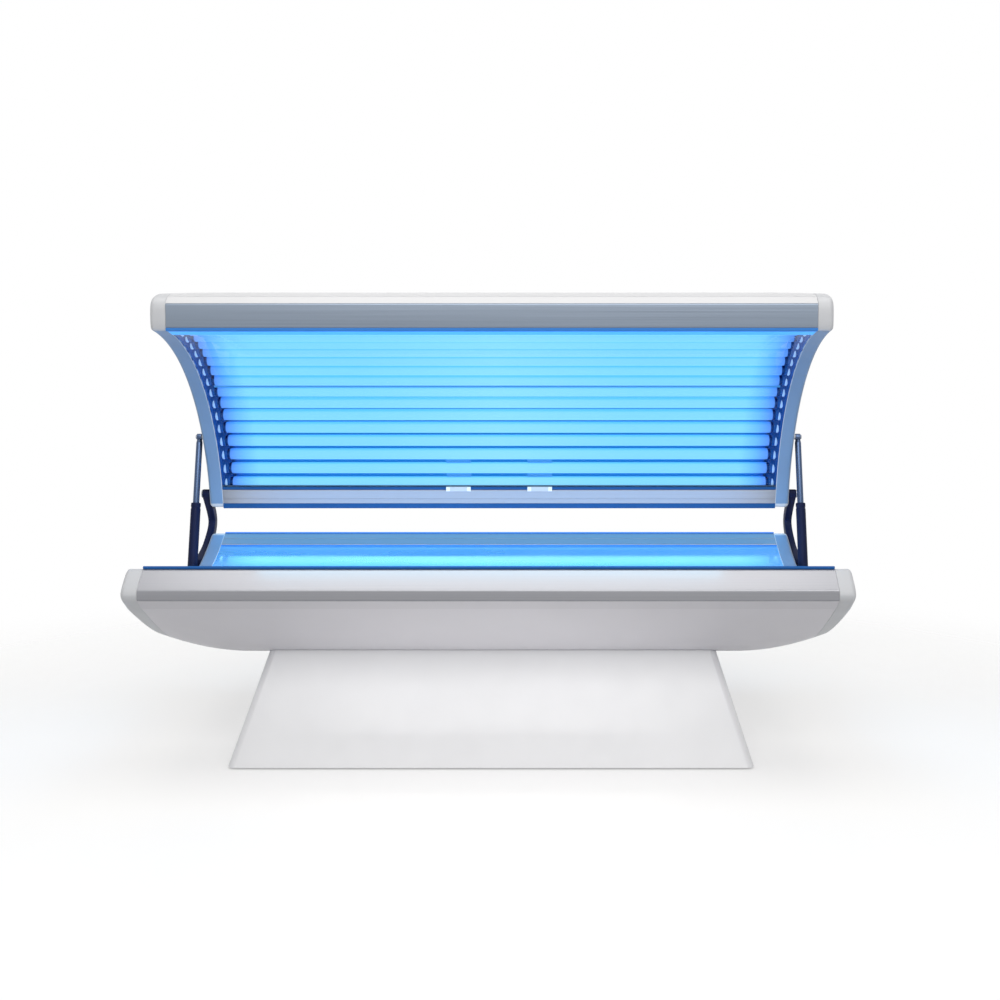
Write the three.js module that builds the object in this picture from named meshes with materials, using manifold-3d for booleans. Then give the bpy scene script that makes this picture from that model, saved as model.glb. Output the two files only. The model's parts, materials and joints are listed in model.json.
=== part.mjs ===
// Clamshell tanning bed: a lamp-lit bench on a pedestal, and a lamp-lit canopy that swings up
// on two hinge arms at the rear and is held by two gas struts. It is drawn with the canopy open.
// Millimetres. X runs along the bed, Y from the front to the rear, Z up from the floor.
import * as THREE from 'three';
import { mergeVertices } from 'three/addons/utils/BufferGeometryUtils.js';
import Module from 'manifold-3d';

const wasm = await Module();
wasm.setup();

// Driving dimensions: lamps
const lampLength = 1850;
const lampRadius = 19;
const lampCapLength = 8;
const lampCapRadius = 18.2;
const lampWall = 1.6;
const holderLength = 22.7;
const holderRadius = 18.6;
const benchLampCount = 8;
const benchLampPitch = 104;
const canopyLampCount = 16;
const canopyLampPitch = 53.5;

// Driving dimensions: the trough that both halves share
const lipBeyondLamps = 28.75;
const troughDepth = 140;
const acrylicThickness = 6;
const acrylicSet = 2;
const lampBehindAcrylic = 12;
const reflectorBehindLamp = 9;
const reflectorThickness = 1.5;

// Driving dimensions: the rail extrusion
const bevelSize = 54;
const noseHeight = 28;
const bandWidth = 40;
const bandDrop = 28;
const flangeWidth = 65;
const ledgeWidth = 12;
const ledgeThickness = 8;
const railWall = 4;

// Driving dimensions: end panels and skins
const endPanelThickness = 48;
const endPanelWall = 6;
const endPanelEdge = 14;
const endPanelLipEdge = 12;
const skinThickness = 4;

// Driving dimensions: outer hulls. Each leaves room behind its reflector. The bench's hull runs on from the
// rail's band, and the canopy's starts at the nose and covers the band.
const benchHull = {
  room: 81.5, shoulder: 190, flat: 110, endRise: 56, endRun: 272, band: 1, seam: 0.6, backSeam: 0.6,
};
const canopyHull = {
  room: 22.5, shoulder: 425, flat: 120, endRise: 14, endRun: 200, band: 0, seam: 1, backSeam: 2.6,
};

// Driving dimensions: heights and the hinge
const lipHeight = 593;
const closedGap = 93;
const canopySetback = 10;
const openAngle = THREE.MathUtils.degToRad(42);
const pivotInset = 25;
const pivotRise = 42;
const pinRadius = 8;
const pinDepth = 34;
const pinHeadRadius = 14;
const pinHeadThickness = 5;
const pivotBossRadius = 15;

// Driving dimensions: the hinge arms, flat bars bowed to the rear
const armThickness = 24;
const armHalfWidth = 15;
const armFootY = 322;
const armFootDrop = 92;
const armHeelY = 425;
const armHeelDrop = 45;
const armBowY = 492;
const armBowRise = 34;

// Driving dimensions: gas struts
const strutReach = 18;
const strutFootY = 250;
const strutFootDrop = 163;
const strutTopAlong = 224;
const strutTopRise = 145;
const cylinderRadius = 16;
const cylinderLength = 281;
const cylinderFloor = 24;
const rodRadius = 10.5;
const rodClearance = 3;
const rodEndRoom = 6;
const eyeRadius = 11;
const eyeWidth = 16;
const studRadius = 5;
const studShoulderRadius = 9;
const studHeadRadius = 8;
const studHeadThickness = 3.5;

// Driving dimensions: pedestal, frame and feet
const skirtFootMargin = { x: 152, y: 68 };
const skirtTopMargin = { x: 65, y: 80 };
const skirtFloorGap = 5;
const skirtWall = 4;
const skirtCorner = 24;
const tube = 40;
const tubeWall = 3;
const frameHeight = 26;
const frameHalfLength = 600;
const frameTrackHalf = 240;
const bearerTrackHalf = 85;
const crossMemberInset = 40;
const footPadRadius = 30;
const footPadHeight = 8;
const footStemRadius = 8;

// Driving dimensions: what the belly holds, and the controls
const tray = { x: -200, length: 900, width: 150, sheet: 2 };
const ballast = { count: 6, length: 110, width: 70, height: 42 };
const fan = { inset: 80, size: 120, height: 38, bore: 56, spider: 8, spiderThickness: 3 };
const impeller = {
  hubRadius: 20, hubHeight: 24, tipRadius: 52, blades: 7, bladeThickness: 2.5, bladeMargin: 2, pitch: 0.6,
};
const knob = {
  y: -303, drop: 118, radius: 24, rim: 4.2, shoulder: 5.7, waist: 19.2, top: 17.8, height: 17, spindle: 4,
  rib: 5, ribLength: 33.6,
};
const button = {
  y: -205, drop: 164, radius: 11, proud: 2, travel: 4, edge: 1.2, flange: 2.5, flangeWidth: 2.5,
};
const inlet = {
  y: -205, drop: 164, flange: 17, flangeHeight: 6, neck: 12, neckHeight: 8,
  tip: 10.8, mouth: 6, length: 24, recess: 3,
};

// Driving dimensions: the clips that hold the canopy acrylic at the rear rail
const clip = { x: 139, width: 84, reach: 12, hold: 6, thickness: 2.5 };

// Clearances and facet counts
const fit = 0.3;
const runningFit = 0.5;
const weld = 1e-4;
const overlap = 1;
const arcSteps = 15;
const hullSteps = 6;
const sweepSteps = 5;
const edgeSteps = 3;
const roundSides = 16;
const smallSides = 10;
const lampSides = 8;
const holderSteps = 4;

// Derived places. The trough is as wide as the canopy's bank of lamps, with a margin to each lip.
const lipHalf = ((canopyLampCount - 1) / 2) * canopyLampPitch + lipBeyondLamps;
const lipRadius = (lipHalf ** 2 + troughDepth ** 2) / (2 * troughDepth);
const arcCentre = lipRadius - troughDepth;
const lipAngle = Math.asin(lipHalf / lipRadius);
const flangeAngle = lipAngle - flangeWidth / lipRadius;
const acrylicFace = lipRadius + acrylicSet;
const acrylicBack = acrylicFace + acrylicThickness;
const lampArc = acrylicBack + lampBehindAcrylic + lampRadius;
const reflectorFace = lampArc + lampRadius + reflectorBehindLamp;
const reflectorDepth = reflectorFace + reflectorThickness - arcCentre;
const noseY = lipHalf + bevelSize;
const noseBase = bevelSize + noseHeight;
const panelInnerX = lampLength / 2 + fit + holderLength;
const halfLength = panelInnerX + endPanelThickness;
const panelWallX = halfLength - endPanelWall;
const pivotAlong = lipHalf - pivotInset;
const pivotY = canopySetback + pivotAlong;
const pivotZ = lipHeight + closedGap + pivotRise;
const strutX = halfLength + strutReach;
const hullDepth = (hull) => reflectorDepth + hull.room + skinThickness;
const skirtFootHalf = { x: frameHalfLength + skirtFootMargin.x, y: frameTrackHalf + skirtFootMargin.y };
const skirtTopHalf = { x: frameHalfLength + skirtTopMargin.x, y: bearerTrackHalf + skirtTopMargin.y };
const crossMemberX = frameHalfLength - crossMemberInset;
const fanX = crossMemberX - fan.inset;
const bellyFloor = lipHeight - hullDepth(benchHull) + skinThickness + fit;
const sides = { left: -1, right: 1 };
const paint = {
  white: { color: 0xe9ebed, roughness: 0.35, metalness: 0 },
  panel: { color: 0xd7dade, roughness: 0.45, metalness: 0 },
  aluminium: { color: 0xaab2be, roughness: 0.35, metalness: 0.9 },
  mirror: { color: 0xdfe6ee, roughness: 0.12, metalness: 1 },
  acrylic: { color: 0x8fd4ff, roughness: 0.05, metalness: 0 },
  lamp: { color: 0xa8e4ff, roughness: 0.2, metalness: 0 },
  dark: { color: 0x2b3038, roughness: 0.5, metalness: 0.3 },
  chrome: { color: 0xc4ccd6, roughness: 0.1, metalness: 1 },
  steel: { color: 0x8b9097, roughness: 0.55, metalness: 0.7 },
  red: { color: 0xb3262b, roughness: 0.4, metalness: 0 },
};

// Solids and meshes

function asSolid(geometry) {
  const bare = geometry.clone();
  bare.deleteAttribute('normal');
  bare.deleteAttribute('uv');
  const merged = mergeVertices(bare, weld);
  return new wasm.Manifold(new wasm.Mesh({
    numProp: 3,
    vertProperties: new Float32Array(merged.attributes.position.array),
    triVerts: new Uint32Array(merged.index.array),
  }));
}

function asGeometry(body) {
  const mesh = body.getMesh();
  const geometry = new THREE.BufferGeometry();
  geometry.setAttribute('position', new THREE.BufferAttribute(mesh.vertProperties, 3));
  geometry.setIndex(new THREE.BufferAttribute(mesh.triVerts, 1));
  return geometry;
}

function joined(first, added, cut = []) {
  let body = asSolid(first);
  added.forEach((geometry) => { body = body.add(asSolid(geometry)); });
  cut.forEach((geometry) => { body = body.subtract(asSolid(geometry)); });
  return asGeometry(body);
}

function piece(parent, name, geometry, finish) {
  const mesh = new THREE.Mesh(geometry, new THREE.MeshStandardMaterial(finish));
  mesh.name = name;
  mesh.geometry.computeVertexNormals();
  parent.add(mesh);
  return mesh;
}

// Turns every triangle round when the closed surface encloses a negative volume.
function facingOut(positions, index) {
  let volume = 0;
  const [a, b, c] = [new THREE.Vector3(), new THREE.Vector3(), new THREE.Vector3()];
  for (let i = 0; i < index.length; i += 3) {
    a.fromArray(positions, 3 * index[i]);
    b.fromArray(positions, 3 * index[i + 1]);
    c.fromArray(positions, 3 * index[i + 2]);
    volume += a.dot(b.cross(c));
  }
  return volume > 0 ? index : index.slice().reverse();
}

function shellGeometry(points, index) {
  const positions = points.flatMap((p) => [p.x, p.y, p.z]);
  const geometry = new THREE.BufferGeometry();
  geometry.setAttribute('position', new THREE.Float32BufferAttribute(positions, 3));
  geometry.setIndex(facingOut(positions, index));
  return geometry;
}

// Skins a row of rings that have equal counts. A ring row that returns to its start needs no caps.
// flatten turns a ring's point into the plane in which its cap is cut into triangles.
function loft(rings, flatten, returns = false) {
  const count = rings[0].length;
  const index = [];
  const last = returns ? rings.length : rings.length - 1;
  for (let i = 0; i < last; i += 1) {
    const next = (i + 1) % rings.length;
    for (let j = 0; j < count; j += 1) {
      const k = (j + 1) % count;
      index.push(i * count + j, i * count + k, next * count + k);
      index.push(i * count + j, next * count + k, next * count + j);
    }
  }
  if (!returns) {
    const contour = rings[0].map(flatten);
    const turn = Math.sign(THREE.ShapeUtils.area(contour));
    THREE.ShapeUtils.triangulateShape(contour, []).forEach(([a, b, c]) => {
      const same = Math.sign(THREE.ShapeUtils.area([contour[a], contour[b], contour[c]])) === turn;
      const [p, q] = same ? [b, c] : [c, b];
      const end = (rings.length - 1) * count;
      index.push(a, q, p, end + a, end + p, end + q);
    });
  }
  return shellGeometry(rings.flat(), index);
}

const fromSide = (p) => new THREE.Vector2(p.y, p.z);
const ringAt = (x, outline) => outline.map((p) => new THREE.Vector3(x, p.x, p.y));
const alongX = (outline, x0, x1) => loft([ringAt(x0, outline), ringAt(x1, outline)], fromSide);

// An outline with an opening in it, carried straight along X.
function hollowAlongX(outline, opening, x0, x1) {
  const clockwise = THREE.ShapeUtils.isClockWise;
  const shape = new THREE.Shape(clockwise(outline) ? outline.slice().reverse() : outline);
  shape.holes.push(new THREE.Path(clockwise(opening) ? opening : opening.slice().reverse()));
  const geometry = new THREE.ExtrudeGeometry(shape, { depth: x1 - x0, bevelEnabled: false });
  geometry.translate(0, 0, x0);
  const toX = new THREE.Matrix4().makeBasis(
    new THREE.Vector3(0, 1, 0), new THREE.Vector3(0, 0, 1), new THREE.Vector3(1, 0, 0),
  );
  return geometry.applyMatrix4(toX);
}

function block(x, y, z, sizeX, sizeY, sizeZ) {
  return new THREE.BoxGeometry(sizeX, sizeY, sizeZ).translate(x, y, z);
}

// A turned piece about X: the profile gives (radius, x).
function turnedAboutX(profile, y, z, segments = roundSides) {
  const geometry = new THREE.LatheGeometry(profile.map(([r, x]) => new THREE.Vector2(r, x)), segments);
  return upright(geometry.rotateZ(-Math.PI / 2)).translate(0, y, z);
}

// A turned piece about Z: the profile gives (radius, z).
function turnedAboutZ(profile, x, y, segments = roundSides) {
  const geometry = new THREE.LatheGeometry(profile.map(([r, z]) => new THREE.Vector2(r, z)), segments);
  return upright(geometry.rotateX(Math.PI / 2)).translate(x, y, 0);
}

// Closes the seam of a turned piece and makes its faces point out.
function upright(geometry) {
  geometry.deleteAttribute('normal');
  geometry.deleteAttribute('uv');
  const merged = mergeVertices(geometry, weld);
  const corners = Array.from(merged.index.array);
  const kept = [];
  for (let i = 0; i < corners.length; i += 3) {
    const [a, b, c] = corners.slice(i, i + 3);
    if (a !== b && b !== c && c !== a) kept.push(a, b, c);
  }
  merged.setIndex(facingOut(merged.attributes.position.array, kept));
  return merged;
}

const rodAboutX = (radius, x0, x1, y, z, segments = roundSides) => turnedAboutX(
  [[0, x0], [radius, x0], [radius, x1], [0, x1]], y, z, segments,
);

// Sections of a half, in its own frame: y across, and z from the lip plane, which is at zero.
// The bench hangs below its lip plane. The canopy is the same half turned over.

const polar = (radius, angle) => new THREE.Vector2(
  radius * Math.sin(angle), arcCentre - radius * Math.cos(angle),
);

function arc(radius, from, to, steps) {
  return Array.from({ length: steps + 1 }, (_, i) => polar(radius, from + ((to - from) * i) / steps));
}

const across = (p) => new THREE.Vector2(-p.x, p.y);
const mirrored = (points) => points.map(across).reverse();

const hullLift = (hull, x) => {
  const run = Math.max(0, Math.abs(x) - (halfLength - hull.endRun)) / hull.endRun;
  return hull.endRise * run ** 2;
};

const hullStart = (hull) => noseY - hull.band * bandWidth;

// The hull's side is a quadratic curve from its start, by the shoulder, to the flat floor.
function hullCurve(hull, x) {
  const depth = hullDepth(hull) - hullLift(hull, x);
  return new THREE.QuadraticBezierCurve(
    new THREE.Vector2(hullStart(hull), -noseBase - hull.band * bandDrop),
    new THREE.Vector2(hull.shoulder, -depth),
    new THREE.Vector2(hull.flat, -depth),
  );
}

// The curve's parameter at a distance y from the middle.
function hullParameter(hull, y) {
  const a = hullStart(hull) - 2 * hull.shoulder + hull.flat;
  const b = hull.shoulder - hullStart(hull);
  const c = hullStart(hull) - y;
  return c / (-b + Math.sqrt(Math.max(0, b * b - a * c)));
}

// Points down one side of the hull, moved inwards by inset.
function hullSide(hull, x, start, inset) {
  const curve = hullCurve(hull, x);
  return Array.from({ length: hullSteps + 1 }, (_, i) => {
    const t = start + ((1 - start) * i) / hullSteps;
    const along = curve.getTangent(t);
    return curve.getPoint(t).add(new THREE.Vector2(along.y, -along.x).multiplyScalar(inset));
  });
}

const bandEnd = new THREE.Vector2(noseY - bandWidth, -noseBase - bandDrop);
const webAngle = Math.atan2(bandEnd.x, arcCentre - bandEnd.y);

// The rail's section: the lip, a slanting face, an upright nose, a band that runs on into the hull,
// a web, and a flange on the lip arc with a ledge that the acrylic lies on.
function railOutline() {
  const back = acrylicBack + fit;
  const ledgeAngle = flangeAngle - ledgeWidth / lipRadius;
  return [
    new THREE.Vector2(noseY, -bevelSize),
    new THREE.Vector2(noseY, -noseBase),
    bandEnd,
    polar(back + ledgeThickness, webAngle),
    polar(back + ledgeThickness, ledgeAngle),
    polar(back, ledgeAngle),
    polar(back, flangeAngle),
    ...arc(lipRadius, flangeAngle, lipAngle, edgeSteps),
  ];
}

// The hollow of the rail: its five main corners, each moved in by the wall.
function railHollow() {
  const corners = [
    polar(lipRadius, lipAngle),
    new THREE.Vector2(noseY, -bevelSize),
    new THREE.Vector2(noseY, -noseBase),
    bandEnd,
    polar(acrylicBack + fit + ledgeThickness, webAngle),
  ];
  return corners.map((corner, i) => {
    const before = corners[(i + corners.length - 1) % corners.length];
    const after = corners[(i + 1) % corners.length];
    const into = corner.clone().sub(before).normalize();
    const out = after.clone().sub(corner).normalize();
    const inward = new THREE.Vector2(into.y + out.y, -into.x - out.x).normalize();
    const half = Math.sqrt((1 + into.dot(out)) / 2);
    return corner.clone().add(inward.multiplyScalar(railWall / half));
  });
}

// The end panel's outline at x. inset moves the bevel, nose and hull in, lipInset the lip arc.
// The lip ends where its arc meets the bevel, which slants at half a right angle.
function panelOutline(hull, x, inset, lipInset) {
  const curve = hullCurve(hull, x);
  const first = hull.band ? new THREE.Vector2(-bandWidth, -bandDrop).normalize() : curve.getTangent(0);
  const noseTurn = (1 + first.y) / -first.x;
  const bevelTurn = Math.SQRT2 - 1;
  const bevelReach = (lipHalf - arcCentre) / Math.SQRT2 - inset;
  const side = [
    new THREE.Vector2(noseY - inset, -bevelSize - inset * bevelTurn),
    new THREE.Vector2(noseY - inset, -noseBase + inset * noseTurn),
    ...hullSide(hull, x, 0, inset).slice(1 - hull.band),
  ];
  const angle = Math.PI / 4 + Math.asin(bevelReach / (lipRadius + lipInset));
  return [...arc(lipRadius + lipInset, -angle, angle, arcSteps), ...side, ...mirrored(side)];
}

// A hull skin: its outer and inner curves as one closed strip at x.
function skinOutline(hull, x) {
  const outer = hullSide(hull, x, hullParameter(hull, hullStart(hull) - hull.seam), 0);
  const inner = hullSide(hull, x, hullParameter(hull, hullStart(hull) - hull.backSeam), skinThickness);
  return [...outer, ...mirrored(outer), ...inner.map(across), ...inner.slice().reverse()];
}

// The height of the faceted skin's outside at x and y.
function skinHeight(hull, x, y) {
  const side = hullSide(hull, x, hullParameter(hull, hullStart(hull) - hull.seam), 0);
  const reach = Math.abs(y);
  const next = side.findIndex((p) => p.x < reach);
  if (next < 1) return side.at(-1).y;
  const [outer, inner] = [side[next - 1], side[next]];
  return THREE.MathUtils.mapLinear(reach, inner.x, outer.x, inner.y, outer.y);
}

// A sheet bent on the lip arc's centre.
function bentSheet(face, thickness, angle) {
  return alongX(
    [...arc(face, -angle, angle, arcSteps), ...arc(face + thickness, angle, -angle, arcSteps)],
    -panelInnerX + fit,
    panelInnerX - fit,
  );
}

// Pieces that both halves have

function hullSkin(hull) {
  const flatEnd = halfLength - hull.endRun;
  const skinEnd = panelInnerX - fit;
  const step = (skinEnd - flatEnd) / sweepSteps;
  const right = Array.from({ length: sweepSteps + 1 }, (_, i) => flatEnd + i * step);
  const stations = [...right.map((x) => -x).reverse(), ...right];
  return loft(stations.map((x) => ringAt(x, skinOutline(hull, x))), fromSide);
}

function rail(turn) {
  const [x0, x1] = [-panelInnerX + fit, panelInnerX - fit];
  return hollowAlongX(railOutline().map(turn), railHollow().map(turn), x0, x1);
}

function lampAngles(count, pitch) {
  return Array.from({ length: count }, (_, i) => ((i - (count - 1) / 2) * pitch) / lampArc);
}

// A lamp is a glass tube with a narrower metal cap at each end, open for its pins.
function lamp(angle) {
  const place = polar(lampArc, angle);
  const end = lampLength / 2;
  const shoulder = end - lampCapLength;
  const bore = lampRadius - lampWall;
  const half = [[lampCapRadius, end], [lampCapRadius, shoulder], [lampRadius, shoulder]];
  const other = half.map(([r, x]) => [r, -x]).reverse();
  const profile = [...half, ...other, [bore, -end], [bore, end], half[0]];
  return turnedAboutX(profile, place.x, place.y, lampSides);
}

// A reflector sheet carries a holder at each end of each lamp: a block with a round top and straight sides.
function reflectorWithHolders(angles) {
  const foot = reflectorFace + reflectorThickness / 2 - lampArc;
  const top = Array.from({ length: holderSteps + 1 }, (_, i) => (i / holderSteps) * Math.PI);
  const outline = [
    ...top.map((a) => new THREE.Vector2(holderRadius * Math.cos(a), holderRadius * Math.sin(a))),
    new THREE.Vector2(-holderRadius, -foot), new THREE.Vector2(holderRadius, -foot),
  ];
  const [near, far] = [lampLength / 2 + fit, panelInnerX - fit];
  const holders = angles.flatMap((angle) => {
    const place = polar(lampArc, angle);
    const stood = outline.map((p) => p.clone().rotateAround(new THREE.Vector2(), angle).add(place));
    return [alongX(stood, near, far), alongX(stood, -far, -near)];
  });
  return joined(bentSheet(reflectorFace, reflectorThickness, webAngle - fit / reflectorFace), holders);
}

// The rings of an end panel, from its open side to its face, moved in by wall. The outer edge is a quarter
// round, and the lip has a smaller round of its own.
function panelRings(hull, side, start, wall) {
  const turns = Array.from({ length: edgeSteps + 1 }, (_, i) => (i / edgeSteps) * (Math.PI / 2));
  const lipStart = halfLength - endPanelLipEdge;
  const lipInset = (x) => endPanelLipEdge
    - Math.sqrt(Math.max(0, (endPanelLipEdge - wall) ** 2 - Math.max(0, x - lipStart) ** 2));
  const stations = turns.map((a) => ({
    x: halfLength - endPanelEdge + (endPanelEdge - wall) * Math.sin(a),
    inset: endPanelEdge - (endPanelEdge - wall) * Math.cos(a),
  }));
  return [{ x: start, inset: wall }, ...stations]
    .map(({ x, inset }) => ringAt(side * x, panelOutline(hull, x, inset, lipInset(x))));
}

// An end panel is a moulded cover, open towards the lamps.
function endPanel(hull, side, added, cut) {
  const cover = loft(panelRings(hull, side, panelInnerX, 0), fromSide);
  const hollow = loft(panelRings(hull, side, panelInnerX - overlap, endPanelWall), fromSide);
  return joined(joined(cover, [], [hollow]), added, cut);
}

// The stud that a gas strut's eye turns on: a shoulder, a pin and a head.
function strutStud(side, y, z) {
  const shoulderEnd = strutX - eyeWidth / 2 - runningFit;
  const pinEnd = strutX + eyeWidth / 2 + runningFit;
  const profile = [
    [0, panelWallX + overlap],
    [studShoulderRadius, panelWallX + overlap],
    [studShoulderRadius, shoulderEnd],
    [studRadius, shoulderEnd],
    [studRadius, pinEnd],
    [studHeadRadius, pinEnd],
    [studHeadRadius, pinEnd + studHeadThickness],
    [0, pinEnd + studHeadThickness],
  ];
  return turnedAboutX(profile.map(([r, x]) => [r, side * x]), y, z);
}

function addHalf(group, prefix, lampCount, lampPitch) {
  const angles = lampAngles(lampCount, lampPitch);
  const sheet = bentSheet(acrylicFace, acrylicThickness, flangeAngle - fit / lipRadius);
  piece(group, `${prefix}_reflector`, reflectorWithHolders(angles), paint.mirror);
  piece(group, `${prefix}_acrylic`, sheet, paint.acrylic);
  angles.forEach((angle, i) => {
    piece(group, `${prefix}_lamp_${String(i + 1).padStart(2, '0')}`, lamp(angle), paint.lamp);
  });
}

// The bench, hung below its lip plane
function buildBench() {
  const group = new THREE.Group();
  group.position.z = lipHeight;
  const under = -hullDepth(benchHull) - overlap;
  const over = under + skinThickness + 2 * overlap;
  const airHole = turnedAboutZ([[0, under], [fan.bore, under], [fan.bore, over], [0, over]], fanX, 0);
  piece(group, 'bench_belly_pan', joined(hullSkin(benchHull), [], [airHole]), paint.white);
  piece(group, 'bench_front_rail', rail(across), paint.aluminium);
  piece(group, 'bench_rear_rail', rail((p) => p), paint.aluminium);
  const [holeStart, holeEnd] = [panelWallX - overlap, halfLength + overlap];
  const controlHoles = [
    rodAboutX(knob.spindle + fit, holeStart, holeEnd, knob.y, -knob.drop, smallSides),
    rodAboutX(button.radius + fit, holeStart, holeEnd, button.y, -button.drop),
  ];
  Object.entries(sides).forEach(([name, side]) => {
    const stud = strutStud(side, strutFootY, -strutFootDrop);
    const panel = endPanel(benchHull, side, [stud], name === 'right' ? controlHoles : []);
    piece(group, `bench_end_panel_${name}`, panel, paint.panel);
  });
  addHalf(group, 'bench', benchLampCount, benchLampPitch);
  addControls(group);
  return group;
}

// The timer and the button on the right end panel, and the mains inlet gland on the left one
function addControls(group) {
  const seat = halfLength + runningFit;
  const top = seat + knob.height;
  const dial = turnedAboutX([
    [0, panelWallX], [knob.spindle, panelWallX], [knob.spindle, seat], [knob.radius, seat],
    [knob.radius, seat + knob.rim], [knob.waist, seat + knob.shoulder], [knob.top, top], [0, top],
  ], knob.y, -knob.drop);
  const rib = block(top, knob.y, -knob.drop, knob.rib, knob.rib, knob.ribLength);
  piece(group, 'timer_knob', joined(dial, [rib]), paint.dark);

  const face = halfLength + button.travel + button.proud;
  const flangeBack = panelWallX - fit - button.flange;
  piece(group, 'start_button', turnedAboutX([
    [0, flangeBack], [button.radius + button.flangeWidth, flangeBack],
    [button.radius + button.flangeWidth, panelWallX - fit], [button.radius, panelWallX - fit],
    [button.radius, face - button.edge], [button.radius - button.edge, face], [0, face],
  ], button.y, -button.drop), paint.red);

  const root = -(halfLength + fit);
  const mouth = root - inlet.length;
  piece(group, 'power_inlet', turnedAboutX([
    [0, root], [inlet.flange, root],
    [inlet.flange, root - inlet.flangeHeight], [inlet.neck, root - inlet.neckHeight],
    [inlet.tip, mouth], [inlet.mouth, mouth], [inlet.mouth, mouth + inlet.recess], [0, mouth + inlet.recess],
  ], inlet.y, -inlet.drop), paint.dark);
}

// The canopy, the same half turned over, swung open about the hinge pins
function buildCanopy() {
  const swing = new THREE.Group();
  swing.position.set(0, pivotY, pivotZ);
  swing.rotation.x = -openAngle;
  const group = new THREE.Group();
  group.position.set(0, -pivotAlong, -pivotRise);
  group.rotation.x = Math.PI;
  swing.add(group);

  piece(group, 'canopy_shell', hullSkin(canopyHull), paint.white);
  piece(group, 'canopy_front_rail', rail((p) => p), paint.aluminium);
  piece(group, 'canopy_rear_rail', rail(across), paint.aluminium);
  Object.entries(sides).forEach(([name, side]) => {
    const onPivot = (radius, x0, x1) => rodAboutX(radius, side * x0, side * x1, -pivotAlong, -pivotRise);
    const boss = onPivot(pivotBossRadius, panelInnerX + runningFit, panelWallX + overlap);
    const bore = onPivot(pinRadius + fit, halfLength - pinDepth - fit, halfLength + overlap);
    const stud = strutStud(side, -strutTopAlong, -strutTopRise);
    piece(group, `canopy_end_panel_${name}`, endPanel(canopyHull, side, [boss, stud], [bore]), paint.panel);

    const armEnd = halfLength + fit + armThickness + fit;
    const pin = [
      [0, halfLength - pinDepth], [pinRadius, halfLength - pinDepth], [pinRadius, armEnd],
      [pinHeadRadius, armEnd], [pinHeadRadius, armEnd + pinHeadThickness], [0, armEnd + pinHeadThickness],
    ];
    const turned = turnedAboutX(pin.map(([r, x]) => [r, side * x]), -pivotAlong, -pivotRise);
    piece(group, `hinge_pin_${name}`, turned, paint.steel);
    piece(group, `canopy_clip_${name}`, retainingClip(side), paint.white);
  });
  addHalf(group, 'canopy', canopyLampCount, canopyLampPitch);
  return swing;
}

// A clip lies on the rear rail's flange and steps down over the edge of the acrylic, clear of its facets.
function retainingClip(side) {
  const under = lipRadius - fit;
  const facetSag = acrylicFace * (1 - Math.cos(flangeAngle / arcSteps));
  const hold = acrylicFace - facetSag - fit;
  const held = flangeAngle + clip.hold / lipRadius;
  const toe = flangeAngle - clip.reach / lipRadius;
  const step = flangeAngle - fit / lipRadius;
  const outline = [
    polar(under, held), polar(under, flangeAngle),
    polar(hold, step), polar(hold, toe),
    polar(under - clip.thickness, toe), polar(under - clip.thickness, held),
  ].map(across);
  const middle = side * clip.x;
  return alongX(outline, middle - clip.width / 2, middle + clip.width / 2);
}

// Hinge arms: flat bars that rise from the bench's end panels, bow to the rear and end at the pins
function addHingeArms(root) {
  const line = new THREE.SplineCurve([
    new THREE.Vector2(armFootY, lipHeight - armFootDrop),
    new THREE.Vector2(armHeelY, lipHeight - armHeelDrop),
    new THREE.Vector2(armBowY, lipHeight + armBowRise),
    new THREE.Vector2(pivotY, pivotZ),
  ]);
  const edge = (t, turn) => {
    const along = line.getTangent(t);
    const across90 = new THREE.Vector2(-along.y, along.x).rotateAround(new THREE.Vector2(), turn);
    return line.getPoint(t).add(across90.multiplyScalar(armHalfWidth));
  };
  const steps = Array.from({ length: arcSteps + 1 }, (_, i) => i / arcSteps);
  const endSteps = smallSides / 2;
  const endTurns = Array.from({ length: endSteps - 1 }, (_, i) => ((i + 1) / endSteps) * Math.PI);
  const outline = [
    ...steps.map((t) => edge(t, 0)),
    ...endTurns.map((turn) => edge(1, -turn)),
    ...steps.slice().reverse().map((t) => edge(t, Math.PI)),
    ...endTurns.map((turn) => edge(0, Math.PI - turn)),
  ];
  const eyeRim = new THREE.Vector2(pivotY + pinRadius + fit, pivotZ);
  const eye = Array.from({ length: roundSides }, (_, i) => (
    eyeRim.clone().rotateAround(new THREE.Vector2(pivotY, pivotZ), (i / roundSides) * 2 * Math.PI)
  ));
  Object.entries(sides).forEach(([name, side]) => {
    const middle = side * (halfLength + fit + armThickness / 2);
    const bar = hollowAlongX(outline, eye, middle - armThickness / 2, middle + armThickness / 2);
    piece(root, `hinge_arm_${name}`, bar, paint.dark);
  });
}

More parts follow.
